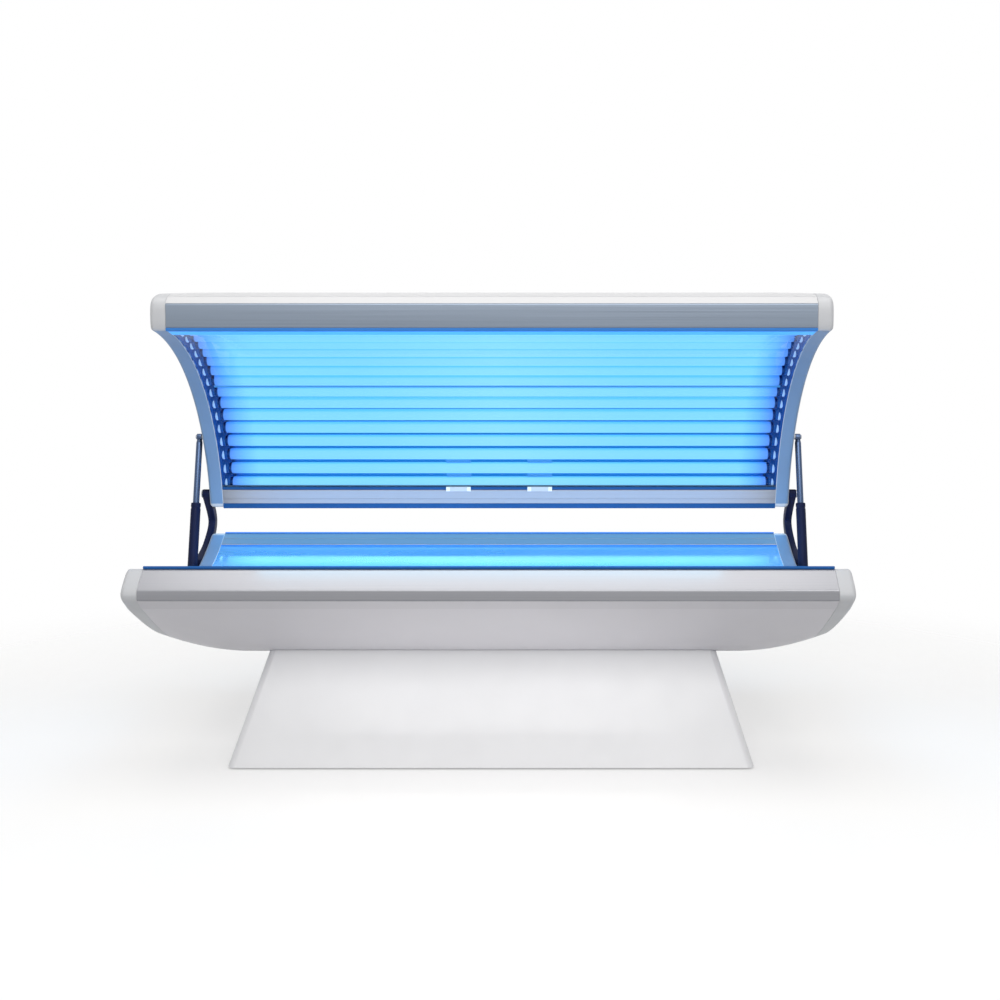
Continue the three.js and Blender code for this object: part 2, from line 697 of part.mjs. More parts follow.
// Gas struts: a cylinder on the bench's stud and a rod on the canopy's stud, on one line
function addStruts(root) {
  const foot = new THREE.Vector2(strutFootY, lipHeight - strutFootDrop);
  const pivot = new THREE.Vector2(pivotY, pivotZ);
  const topFromPivot = new THREE.Vector2(strutTopAlong - pivotAlong, strutTopRise - pivotRise);
  const closedTop = pivot.clone().add(topFromPivot);
  const openTop = closedTop.clone().rotateAround(pivot, -openAngle);
  const openLength = openTop.distanceTo(foot);
  const rodLength = closedTop.distanceTo(foot) - cylinderFloor - rodEndRoom;
  const eye = rodAboutX(eyeRadius, -eyeWidth / 2, eyeWidth / 2, 0, 0);
  const eyeBore = rodAboutX(studRadius + fit, -eyeWidth, eyeWidth, 0, 0);
  const bore = rodRadius + rodClearance;
  const barrel = turnedAboutZ([
    [0, eyeRadius - overlap], [rodRadius, eyeRadius - overlap], [cylinderRadius, cylinderFloor - rodEndRoom],
    [cylinderRadius, cylinderLength], [bore, cylinderLength], [bore, cylinderFloor], [0, cylinderFloor],
  ], 0, 0);
  const stem = turnedAboutZ([
    [0, -rodLength], [rodRadius, -rodLength], [rodRadius, overlap - eyeRadius], [0, overlap - eyeRadius],
  ], 0, 0);
  Object.entries(sides).forEach(([name, side]) => {
    const strut = new THREE.Group();
    strut.position.set(side * strutX, foot.x, foot.y);
    strut.rotation.x = Math.atan2(foot.x - openTop.x, openTop.y - foot.y);
    piece(strut, `strut_cylinder_${name}`, joined(barrel, [eye], [eyeBore]), paint.dark);
    const rod = piece(strut, `strut_rod_${name}`, joined(stem, [eye], [eyeBore]), paint.chrome);
    rod.position.z = openLength;
    root.add(strut);
  });
}

// One ring of the skirt: a rectangle with rounded corners, its end walls cut where the belly has its facets.
function skirtRing(half, inset, heightAt) {
  const [hx, hy, radius] = [half.x - inset, half.y - inset, skirtCorner - inset];
  const flatY = hy - radius;
  const corner = (sx, sy, from) => Array.from({ length: edgeSteps + 1 }, (_, i) => {
    const a = from + ((i / edgeSteps) * Math.PI) / 2;
    return [sx * (hx - radius) + radius * Math.cos(a), sy * flatY + radius * Math.sin(a)];
  });
  const saddleHalf = skirtTopHalf.y - skirtCorner;
  const facets = skinOutline(benchHull, 0).map((p) => p.x).slice(0, 2 * (hullSteps + 1))
    .filter((y) => Math.abs(y) < saddleHalf).reverse();
  const wall = (sx, way) => facets.map((y) => [sx * hx, (way * flatY * y) / saddleHalf]);
  return [
    ...corner(1, -1, -Math.PI / 2), ...wall(1, 1), ...corner(1, 1, 0),
    ...corner(-1, 1, Math.PI / 2), ...wall(-1, -1), ...corner(-1, -1, Math.PI),
  ].map(([x, y]) => new THREE.Vector3(x, y, heightAt(x, y)));
}

// The pedestal: a tapered skirt whose top is shaped to the belly, over a welded frame on four feet
function addPedestal(root) {
  const floor = () => skirtFloorGap;
  const saddle = (x, y) => lipHeight + skinHeight(benchHull, x, y) - runningFit;
  piece(root, 'pedestal_skirt', loft([
    skirtRing(skirtFootHalf, 0, floor), skirtRing(skirtTopHalf, 0, saddle),
    skirtRing(skirtTopHalf, skirtWall, saddle), skirtRing(skirtFootHalf, skirtWall, floor),
  ], fromSide, true), paint.white);

  const bearerTop = lipHeight - hullDepth(benchHull) - fit;
  const bearerZ = bearerTop - tube / 2;
  const lowZ = frameHeight + tube / 2;
  const ways = Object.values(sides);
  const bars = (side, reach) => ways.flatMap((way) => [
    block(0, way * frameTrackHalf, lowZ, 2 * (frameHalfLength + reach), side, side),
    block(0, way * bearerTrackHalf, bearerZ, 2 * (frameHalfLength + reach), side, side),
    block(way * crossMemberX, 0, lowZ, side, 2 * frameTrackHalf, side),
    block(way * crossMemberX, 0, bearerZ, side, 2 * bearerTrackHalf, side),
    ...ways.map((end) => block(
      end * crossMemberX, way * bearerTrackHalf, (lowZ + bearerZ) / 2, side, side, bearerZ - lowZ,
    )),
  ]);
  const [first, ...others] = bars(tube, 0);
  piece(root, 'base_frame', joined(first, others, bars(tube - 2 * tubeWall, overlap)), paint.steel);

  const footNames = { front: -1, rear: 1 };
  Object.entries(footNames).forEach(([row, sy]) => Object.entries(sides).forEach(([name, sx]) => {
    const profile = [
      [0, 0], [footPadRadius, 0], [footPadRadius, footPadHeight / 2], [footStemRadius, footPadHeight],
      [footStemRadius, frameHeight - fit], [0, frameHeight - fit],
    ];
    const foot = turnedAboutZ(profile, sx * crossMemberX, sy * frameTrackHalf);
    piece(root, `foot_${row}_${name}`, foot, paint.dark);
  }));
}

// The ballasts on their tray, and the fan over the belly's air hole
function addInnards(root) {
  const sheet = block(tray.x, 0, bellyFloor + tray.sheet / 2, tray.length, tray.width, tray.sheet);
  const pitch = tray.length / ballast.count;
  const ballastZ = bellyFloor + tray.sheet + (ballast.height - overlap) / 2;
  const blocks = Array.from({ length: ballast.count }, (_, i) => block(
    tray.x + (i - (ballast.count - 1) / 2) * pitch, 0, ballastZ,
    ballast.length, ballast.width, ballast.height + overlap,
  ));
  piece(root, 'ballast_tray', joined(sheet, blocks), paint.steel);

  const middle = bellyFloor + fan.height / 2;
  const hubBase = bellyFloor + fan.spiderThickness + runningFit;
  const [under, over] = [bellyFloor - overlap, bellyFloor + fan.height + overlap];
  const wind = turnedAboutZ([[0, under], [fan.bore, under], [fan.bore, over], [0, over]], fanX, 0);
  const square = joined(block(fanX, 0, middle, fan.size, fan.size, fan.height), [], [wind]);
  const spiderZ = bellyFloor + fan.spiderThickness / 2;
  const spider = [
    block(fanX, 0, spiderZ, fan.size - overlap, fan.spider, fan.spiderThickness),
    block(fanX, 0, spiderZ, fan.spider, fan.size - overlap, fan.spiderThickness),
  ];
  piece(root, 'fan_frame', joined(square, spider), paint.dark);

  const hubTop = hubBase + impeller.hubHeight;
  const hub = turnedAboutZ([
    [0, hubBase], [impeller.hubRadius, hubBase], [impeller.hubRadius, hubTop], [0, hubTop],
  ], fanX, 0);
  const reach = impeller.tipRadius - impeller.hubRadius + 2 * overlap;
  const chord = (impeller.hubHeight - 2 * impeller.bladeMargin) / Math.cos(impeller.pitch);
  const blades = Array.from({ length: impeller.blades }, (_, i) => (
    new THREE.BoxGeometry(reach, impeller.bladeThickness, chord)
      .rotateX(impeller.pitch)
      .translate(impeller.tipRadius - reach / 2, 0, (hubBase + hubTop) / 2)
      .rotateZ((i / impeller.blades) * 2 * Math.PI)
      .translate(fanX, 0, 0)
  ));
  piece(root, 'fan_impeller', joined(hub, blades), paint.dark);
}

// The whole bed, with its origin on the floor under the middle of its box
const bed = new THREE.Group();
addPedestal(bed);
addInnards(bed);
bed.add(buildBench());
bed.add(buildCanopy());
addHingeArms(bed);
addStruts(bed);
bed.updateMatrixWorld(true);
const box = new THREE.Box3().setFromObject(bed, true);
bed.position.y = -(box.min.y + box.max.y) / 2;
bed.updateMatrixWorld(true);

export default bed;
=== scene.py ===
"""Dresses the clamshell tanning bed: fine surfaces, finishes, studio light and the camera.

Lengths are metres in the row frame: +X along the bed, +Y from the front to the hinge side, and
+Z up from the floor.
"""

import json
import logging
import math
from dataclasses import dataclass, replace
from enum import Enum
from typing import Callable, Sequence

import bpy
import numpy as np
from numpy.typing import NDArray
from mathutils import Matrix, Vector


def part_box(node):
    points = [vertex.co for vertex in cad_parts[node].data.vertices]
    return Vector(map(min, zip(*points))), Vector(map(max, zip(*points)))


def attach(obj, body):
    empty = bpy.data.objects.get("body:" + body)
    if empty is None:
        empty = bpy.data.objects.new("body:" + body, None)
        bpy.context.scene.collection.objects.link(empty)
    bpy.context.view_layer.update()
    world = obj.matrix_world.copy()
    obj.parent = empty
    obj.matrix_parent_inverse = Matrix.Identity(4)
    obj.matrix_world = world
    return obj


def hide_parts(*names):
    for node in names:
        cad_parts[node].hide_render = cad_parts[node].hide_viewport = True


LOG = logging.getLogger("tanning_bed")
Array = NDArray[np.float64]
Triple = tuple[float, float, float]
Pair = tuple[float, float]
Colour = Triple
Socket = bpy.types.NodeSocket

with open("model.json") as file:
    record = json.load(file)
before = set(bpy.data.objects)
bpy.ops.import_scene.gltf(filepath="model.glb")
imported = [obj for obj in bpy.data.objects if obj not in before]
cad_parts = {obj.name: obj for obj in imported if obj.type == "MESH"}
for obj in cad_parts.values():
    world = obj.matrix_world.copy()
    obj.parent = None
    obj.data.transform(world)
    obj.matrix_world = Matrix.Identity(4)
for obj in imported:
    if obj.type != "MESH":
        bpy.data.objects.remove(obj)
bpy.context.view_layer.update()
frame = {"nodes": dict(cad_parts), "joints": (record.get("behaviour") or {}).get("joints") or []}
CREASE_ANGLE = math.radians(32)
BEVEL_SEGMENTS = 2
SIDES = {"left": -1, "right": 1}
DIAGONAL = math.sqrt(2)
# The hair's breadth between pieces that meet.
FIT = 0.0003
# The radius at which a turned profile closes on its axis.
HUB = 0.001
# The largest share of an edge that the rounding of one corner takes up.
ROUND_SHARE = 0.48
# The least length that is divided by.
TINY = 1e-9
# Where the clips sit to each side of the middle along X, and how wide they are.
CLIP_X, CLIP_WIDTH = 0.139, 0.084
# The middle of a noise's spread.
NOISE_RANGE = (0.3, 0.7)
# The mix node's sockets for colours.
MIX_FIRST, MIX_SECOND, MIX_RESULT = 6, 7, 2


class Slot(Enum):
    """The record's material slots."""

    WHITE_PANEL = "white_panel"
    END_PLASTIC = "end_plastic"
    RAIL = "rail_aluminium"
    REFLECTOR = "reflector_mirror"
    ACRYLIC = "clear_acrylic"
    LAMP = "lamp_glass"
    CLIP = "clip_plastic"
    DARK_PAINT = "dark_paint"
    CHROME = "rod_chrome"
    PIN = "pin_steel"
    FRAME = "frame_steel"
    BLACK = "black_plastic"
    RED = "red_plastic"
    RUBBER = "foot_rubber"


class Half(Enum):
    """The two halves of the clamshell, by the name of the body that each rides on."""

    BENCH = "bench"
    CANOPY = "canopy"


def srgb(red: int, green: int, blue: int) -> Colour:
    """Turns a screen colour of 0 to 255 into linear light.

    Args:
        red: the red part.
        green: the green part.
        blue: the blue part.

    Returns:
        The linear red, green and blue, each from 0 to 1.
    """
    part = np.array([red, green, blue]) / 255
    light = np.where(part <= 0.04045, part / 12.92, ((part + 0.055) / 1.055) ** 2.4)
    return tuple(float(value) for value in light)


class Nodes:
    """A node tree, with the steps that the materials and the surround share."""

    def __init__(self, tree: bpy.types.NodeTree) -> None:
        """Takes the tree that nodes are added to."""
        self.tree = tree

    def node(self, kind: str, **inputs: object) -> bpy.types.Node:
        """Adds a node and sets its unlinked inputs.

        Args:
            kind: the node's type.
            inputs: values by the input's name, with spaces written as underscores.

        Returns:
            The node.
        """
        made = self.tree.nodes.new(kind)
        for name, value in inputs.items():
            made.inputs[name.replace("_", " ")].default_value = value
        return made

    def link(self, source: Socket, target: Socket) -> None:
        """Joins an output to an input."""
        self.tree.links.new(source, target)

    def place(self, scale: Triple = (1.0, 1.0, 1.0), shift: Triple = (0.0, 0.0, 0.0)) -> Socket:
        """Object coordinates, scaled and then shifted.

        Args:
            scale: the factor along each axis.
            shift: what is added along each axis.

        Returns:
            The coordinates.
        """
        mapping = self.node("ShaderNodeMapping", Scale=scale, Location=shift)
        self.link(self.node("ShaderNodeTexCoord").outputs["Object"], mapping.inputs["Vector"])
        return mapping.outputs["Vector"]

    def length(self, vector: Socket) -> Socket:
        """The length of a vector.

        Args:
            vector: the vector.

        Returns:
            Its length.
        """
        made = self.node("ShaderNodeVectorMath")
        made.operation = "LENGTH"
        self.link(vector, made.inputs[0])
        return made.outputs["Value"]

    def worked(self, operation: str, *values: Socket) -> Socket:
        """Links values to a math node.

        Args:
            operation: what the node works out.
            values: what it takes, in order.

        Returns:
            The result.
        """
        made = self.node("ShaderNodeMath")
        made.operation = operation
        for value, socket in zip(values, made.inputs):
            self.link(value, socket)
        return made.outputs[0]

    def ranged(self, value: Socket, source: Pair, target: Pair = (0.0, 1.0), curve: str = "LINEAR") -> Socket:
        """Maps one range onto another.

        Args:
            value: what is mapped.
            source: the range that it comes from.
            target: the range that it goes to.
            curve: how it runs between the ends.

        Returns:
            The mapped value.
        """
        ends = {"From_Min": source[0], "From_Max": source[1], "To_Min": target[0], "To_Max": target[1]}
        made = self.node("ShaderNodeMapRange", **ends)
        made.interpolation_type = curve
        self.link(value, made.inputs["Value"])
        return made.outputs["Result"]

    def show(self, output: str, share: Socket, first: Socket, second: Socket) -> None:
        """Puts a mix of two shaders on the tree's output.

        Args:
            output: the name of the output node.
            share: how much of the second shader shows, from 0 to 1.
            first: the shader at 0.
            second: the shader at 1.
        """
        mix = self.node("ShaderNodeMixShader")
        for source, socket in zip((share, first, second), mix.inputs):
            self.link(source, socket)
        self.link(mix.outputs["Shader"], self.tree.nodes[output].inputs["Surface"])


class Shade(Nodes):
    """One material's node tree, with the few patterns that the finishes share."""

    def __init__(self, name: str) -> None:
        """Starts a material with a bare surface shader.

        Args:
            name: the material's name.
        """
        self.material = bpy.data.materials.new(name)
        self.material.use_nodes = True
        super().__init__(self.material.node_tree)
        self.skin = self.tree.nodes["Principled BSDF"]

    def paint(self, **inputs: object) -> None:
        """Sets constants on the surface shader's own sockets, with spaces written as underscores."""
        for name, value in inputs.items():
            self.skin.inputs[name.replace("_", " ")].default_value = value

    def feed(self, name: str, value: Socket) -> None:
        """Links a value to one of the surface shader's sockets."""
        self.link(value, self.skin.inputs[name])

    def noise(self, stretch: Triple, detail: float = 3.0) -> Socket:
        """Noise on Object coordinates, with a count of grains per metre along each axis.

        Args:
            stretch: grains per metre along X, Y and Z.
            detail: how many finer layers the noise has.

        Returns:
            The noise's value, from 0 to 1.
        """
        grain = self.node("ShaderNodeTexNoise", Scale=1.0, Detail=detail)
        self.link(self.place(stretch), grain.inputs["Vector"])
        return grain.outputs["Fac"]

    def ramp(self, value: Socket, stops: Sequence[tuple[float, Colour]]) -> Socket:
        """A colour that runs through the stops as the value grows.

        Args:
            value: what the colour follows.
            stops: positions from 0 to 1 with their linear colours.

        Returns:
            The colour socket.
        """
        ramp = self.node("ShaderNodeValToRGB")
        band = ramp.color_ramp
        while len(band.elements) < len(stops):
            band.elements.new(1.0)
        for element, (position, colour) in zip(band.elements, stops):
            element.position = position
            element.color = (*colour, 1.0)
        self.link(value, ramp.inputs["Fac"])
        return ramp.outputs["Color"]

    def tone(self, value: Socket, colour: Colour, depth: float) -> None:
        """Runs the base colour from darker to paler as a noise grows.

        Args:
            value: the noise.
            colour: the colour in the middle.
            depth: how far it changes to each side, as a share.
        """
        tones = (tinted(colour, 1 - depth), tinted(colour, 1 + depth))
        self.feed("Base Color", self.ramp(value, list(zip(NOISE_RANGE, tones))))

    def gloss(self, value: Socket, roughness: float, spread: Pair) -> None:
        """Makes the roughness uneven by a noise.

        Args:
            value: the noise.
            roughness: the roughness in the middle.
            spread: its least and its greatest value, as shares.
        """
        ends = (roughness * spread[0], roughness * spread[1])
        self.feed("Roughness", self.ranged(value, NOISE_RANGE, ends))

    def bump(self, value: Socket, distance: float) -> None:
        """Raises the surface's shading.

        Args:
            value: the relief, from 0 to 1.
            distance: its height where the value is 1.
        """
        relief = self.node("ShaderNodeBump", Strength=1.0, Distance=distance)
        self.link(value, relief.inputs["Height"])
        self.feed("Normal", relief.outputs["Normal"])


def tinted(colour: Colour, factor: float) -> Colour:
    """Brightens or darkens a colour by a factor."""
    return tuple(min(1.0, part * factor) for part in colour)


@dataclass(frozen=True)
class Finish:
    """What every finish has: its slot, its own name, and a material made once."""

    slot: Slot
    name: str

    def material(self) -> bpy.types.Material:
        """Makes the finish's material when it is first asked for.

        Returns:
            The material.
        """
        found = bpy.data.materials.get(self.name)
        if found is None:
            shade = Shade(self.name)
            self.dress(shade)
            found = shade.material
        return found

    def dress(self, shade: Shade) -> None:
        """Fills in the material's nodes."""
        raise NotImplementedError


@dataclass(frozen=True)
class Moulded(Finish):
    """Plastic, laminate, rubber or paint: a faint cloud of tone, uneven gloss and a fine peel."""

    colour: Colour
    roughness: float
    cloud: float = 0.03
    cloud_grains: float = 3.0
    gloss_grains: float = 14.0
    gloss_spread: Pair = (0.9, 1.12)
    peel_grains: float = 420.0
    peel_height: float = 0.00006
    metallic: float = 0.0
    # glow: the strength of a painted glow, light given off by a part that is no lamp.
    glow: float = 0.0
    specular: float = 0.5

    def dress(self, shade: Shade) -> None:
        """Clouds the colour and the gloss slowly, and peels the surface finely.

        Args:
            shade: the material to fill in.
        """
        shade.tone(shade.noise((self.cloud_grains,) * 3), self.colour, self.cloud)
        shade.gloss(shade.noise((self.gloss_grains,) * 3), self.roughness, self.gloss_spread)
        shade.paint(Metallic=self.metallic, Specular_IOR_Level=self.specular)
        shade.paint(Emission_Color=(*self.colour, 1.0), Emission_Strength=self.glow)
        shade.bump(shade.noise((self.peel_grains,) * 3, detail=1.0), self.peel_height)


@dataclass(frozen=True)
class Drawn(Finish):
    """Metal drawn or rolled along X: fine lines along its length in tone, gloss and relief."""

    colour: Colour
    roughness: float
    line: float = 0.06
    grains: Triple = (1.2, 700.0, 700.0)
    gloss_spread: Pair = (0.8, 1.25)
    relief: float = 0.00002
    metallic: float = 1.0

    def dress(self, shade: Shade) -> None:
        """Stretches noise along X into draw lines.

        Args:
            shade: the material to fill in.
        """
        lines = shade.noise(self.grains, detail=2.0)
        shade.tone(lines, self.colour, self.line)
        shade.gloss(lines, self.roughness, self.gloss_spread)
        shade.paint(Metallic=self.metallic)
        shade.bump(lines, self.relief)


@dataclass(frozen=True)
class Glazing(Finish):
    """Clear polished sheet: it transmits, and mirrors what is near its plane."""

    colour: Colour
    roughness: float = 0.03
    grains: Triple = (2.0, 9.0, 9.0)
    gloss_spread: Pair = (0.7, 1.4)
    refraction: float = 1.49
    specular: float = 0.25
    # lit: the colour of a painted glow that the sheet gives off itself.
    lit: Colour = (0.0, 0.0, 0.0)

    def dress(self, shade: Shade) -> None:
        """Clear sheet with a faint drawn unevenness of gloss, and a painted glow of its own.

        Args:
            shade: the material to fill in.
        """
        shade.paint(Base_Color=(*self.colour, 1.0), Transmission_Weight=1.0, IOR=self.refraction)
        shade.paint(Specular_IOR_Level=self.specular)
        shade.paint(Emission_Color=(*self.lit, 1.0), Emission_Strength=1.0)
        shade.gloss(shade.noise(self.grains), self.roughness, self.gloss_spread)


@dataclass(frozen=True)
class LampGlow(Finish):
    """A lit tube: cyan along its length with a paler painted highlight in the middle, dim violet at its ends,
    and brightest on the user's side.
    """

    painted_highlight: Colour
    body: Colour
    fade: Colour
    end: Colour
    strength: float
    painted_highlight_to: float
    fade_from: float
    fade_to: float
    around: tuple[tuple[float, Colour], ...] = ()
    centre: Pair = (0.0, 0.0)
    reach: Pair = (0.0, 1.0)
    unlit_share: float = 0.15
    specular: float = 0.1
    roughness: float = 0.16
    grains: Triple = (30.0, 120.0, 120.0)
    gloss_spread: Pair = (1.0, 1.75)

    def turned_to(self, half: Half, centre: Pair, reach: Pair) -> "LampGlow":
        """The finish for one half's lamps.

        Args:
            half: the half that the lamps belong to.
            centre: the Y and Z of the axis that the lamps stand around.
            reach: the least and the greatest distance of a tube's glass from that axis.

        Returns:
            The finish, with a name of its own.
        """
        return replace(self, name=f"{half.value}_{self.name}", centre=centre, reach=reach)

    def along(self, shade: Shade) -> Socket:
        """The glow by the distance along X from the middle, with a paler painted highlight near the middle.

        Args:
            shade: the material to add to.

        Returns:
            The colour.
        """
        split = shade.node("ShaderNodeSeparateXYZ")
        shade.link(shade.place(), split.inputs["Vector"])
        away = shade.ranged(shade.worked("ABSOLUTE", split.outputs["X"]), (0.0, self.fade_to))
        midway = (self.fade_from + self.fade_to) / 2
        stops = np.array([0.0, self.painted_highlight_to, self.fade_from, midway, self.fade_to]) / self.fade_to
        return shade.ramp(away, list(zip(stops, (self.painted_highlight, self.body, self.body, self.fade, self.end))))

    def shaded(self, shade: Shade) -> Socket:
        """The shade round each tube, by the distance from the axis that the lamps stand around.

        Args:
            shade: the material to add to.

        Returns:
            The colour that the glow is multiplied by.
        """
        spoke = shade.place((0.0, 1.0, 1.0), (0.0, -self.centre[0], -self.centre[1]))
        return shade.ramp(shade.ranged(shade.length(spoke), self.reach), self.around)

    def dress(self, shade: Shade) -> None:
        """Multiplies the glow along the tube by the shade round it.

        Args:
            shade: the material to fill in.
        """
        both = shade.node("ShaderNodeMix")
        both.data_type, both.blend_type = "RGBA", "MULTIPLY"
        both.inputs["Factor"].default_value = 1.0
        shade.link(self.along(shade), both.inputs[MIX_FIRST])
        shade.link(self.shaded(shade), both.inputs[MIX_SECOND])
        shade.feed("Emission Color", both.outputs[MIX_RESULT])
        shade.paint(Base_Color=(*tinted(self.body, self.unlit_share), 1.0))
        shade.paint(Emission_Strength=self.strength, Specular_IOR_Level=self.specular)
        shade.gloss(shade.noise(self.grains), self.roughness, self.gloss_spread)


WHITE_PANEL = Moulded(Slot.WHITE_PANEL, "white_laminate", srgb(228, 229, 232), 0.36, cloud=0.015)
# The belly's laminate is a darker copy of the white laminate: painted shade under the bench.
BELLY_PANEL_PAINTED_SHADE = Moulded(Slot.WHITE_PANEL, "belly_laminate", srgb(203, 202, 208), 0.36, cloud=0.015)
# The band's laminate is a still darker copy of the white laminate: painted shade on the band.
BAND_PANEL_PAINTED_SHADE = Moulded(Slot.WHITE_PANEL, "band_laminate", srgb(196, 195, 201), 0.36, cloud=0.015)
SHELL_PANEL = Moulded(Slot.WHITE_PANEL, "canopy_laminate", srgb(199, 200, 203), 0.36, cloud=0.015)
END_PLASTIC = Moulded(Slot.END_PLASTIC, "pale_moulding", srgb(190, 192, 196), 0.42, cloud=0.02)
# The lip trim is grey, tinted blue by painted light from the lamps.
LIP_TRIM_PAINTED_BLUE_LIGHT = Moulded(Slot.END_PLASTIC, "grey_lip_trim", srgb(108, 138, 170), 0.44, cloud=0.03)
# White holder bosses, tinted blue and glowing: painted lamp light.
SOCKET_PLASTIC_PAINTED_GLOW = Moulded(Slot.CLIP, "lamp_holder_white", srgb(206, 226, 250), 0.4, glow=0.35)
# Black holders painted dark blue and glowing, also used for the end liners: painted lamp light and shade.
HOLDER_BODY_PAINTED_GLOW = Moulded(
    Slot.BLACK, "lamp_holder_body", srgb(38, 92, 160), 0.5, cloud=0.05, glow=0.3, specular=0.15,
)
# The clip's grey moulding is darker than its white pads: painted shade in its middle.
CLIP_PLASTIC_PAINTED_SHADE = Moulded(Slot.CLIP, "clip_grey", srgb(178, 178, 178), 0.3, cloud=0.01)
CLIP_PAD = Moulded(Slot.CLIP, "clip_white", srgb(220, 218, 214), 0.3, cloud=0.01)
RAIL_METAL = Drawn(Slot.RAIL, "rail_extrusion", srgb(140, 141, 146), 0.36, metallic=0.74)
# A bluer copy of the rail metal: painted blue glow from the lamps.
RAIL_PAINTED_BLUE_GLOW = Drawn(Slot.RAIL, "rail_extrusion_blue", srgb(125, 136, 150), 0.36, metallic=0.74)
# The reflector's aluminium is tinted blue: a painted reflection of the lamps.
MIRROR_SHEET_PAINTED_REFLECTION = Drawn(Slot.REFLECTOR, "reflector_sheet", srgb(92, 162, 206), 0.3, line=0.03)
CLEAR_SHEET = Glazing(
    Slot.ACRYLIC, "clear_acrylic_sheet", srgb(222, 242, 255), refraction=1.12, specular=0.06,
)
SOFT_SHEET_PAINTED_GLOW = Glazing(Slot.ACRYLIC, "diffusing_acrylic_sheet", srgb(222, 242, 255), 0.3, lit=srgb(44, 98, 150))
LAMP_GLOW = LampGlow(
    Slot.LAMP, "lit_tube", painted_highlight=srgb(154, 218, 252), body=srgb(142, 212, 252), fade=srgb(118, 186, 248),
    end=srgb(88, 132, 220), strength=1.16, painted_highlight_to=0.45, fade_from=0.82, fade_to=0.918,
    around=(
        (0.0, (1.0, 1.0, 1.0)), (0.25, (0.93, 0.98, 1.0)), (0.42, (0.5, 0.83, 1.0)),
        (0.56, (0.46, 0.8, 1.0)), (1.0, (0.42, 0.76, 0.96)),
    ),
)
# The lamps' aluminium caps, coloured dark blue: painted lamp light.
CAP_METAL_PAINTED_BLUE_LIGHT = Drawn(Slot.PIN, "lamp_cap_metal", srgb(40, 76, 136), 0.4)
DARK_PAINT = Moulded(Slot.DARK_PAINT, "dark_satin_paint", srgb(13, 22, 52), 0.5, cloud=0.08, specular=0.12)
# The chrome's dark blue tint is a painted reflection of the lamps.
CHROME = Drawn(Slot.CHROME, "rod_hard_chrome", srgb(72, 88, 116), 0.24, line=0.02)
ZINC = Moulded(Slot.PIN, "zinc_plate", srgb(150, 154, 160), 0.34, cloud=0.08, metallic=1.0)
PRIMER = Moulded(Slot.FRAME, "grey_primer", srgb(120, 124, 130), 0.6, cloud=0.08)
BLACK_PLASTIC = Moulded(Slot.BLACK, "black_moulding", srgb(34, 35, 38), 0.46, cloud=0.06, peel_height=0.00015)
RED_PLASTIC = Moulded(Slot.RED, "red_button_plastic", srgb(186, 34, 38), 0.3, cloud=0.03)
RUBBER = Moulded(Slot.RUBBER, "foot_rubber_matt", srgb(42, 42, 45), 0.8, cloud=0.1, peel_height=0.0002)
# Dark blue seals on the lip edges: painted shade in the lamps' blue light.
SEAL_PAINTED_SHADE = Moulded(Slot.RUBBER, "blue_grey_seal", srgb(26, 74, 124), 0.6, cloud=0.05, specular=0.15)
# Blue seals with a painted glow: lamp light on the lip edges.
SOFT_SEAL_PAINTED_GLOW = Moulded(Slot.RUBBER, "soft_blue_seal", srgb(31, 80, 140), 0.6, cloud=0.05, glow=0.3, specular=0.1)
PAINTED_GLOW_SEAL = Moulded(
    Slot.RUBBER, "pale_blue_seal", srgb(54, 114, 184), 0.6, cloud=0.05, glow=0.25, specular=0.15,
)
# The acrylic's edge, tinted blue and glowing: painted lamp light.
PAINTED_GLOW_EDGE = Moulded(Slot.CLIP, "lit_acrylic_edge", srgb(80, 164, 228), 0.5, glow=0.6, specular=0.1)
# Spacers tinted blue and glowing: painted lamp light.
SPACER_PLASTIC_PAINTED_GLOW = Moulded(Slot.CLIP, "spacer_blue", srgb(84, 148, 200), 0.5, glow=0.5, specular=0.1)


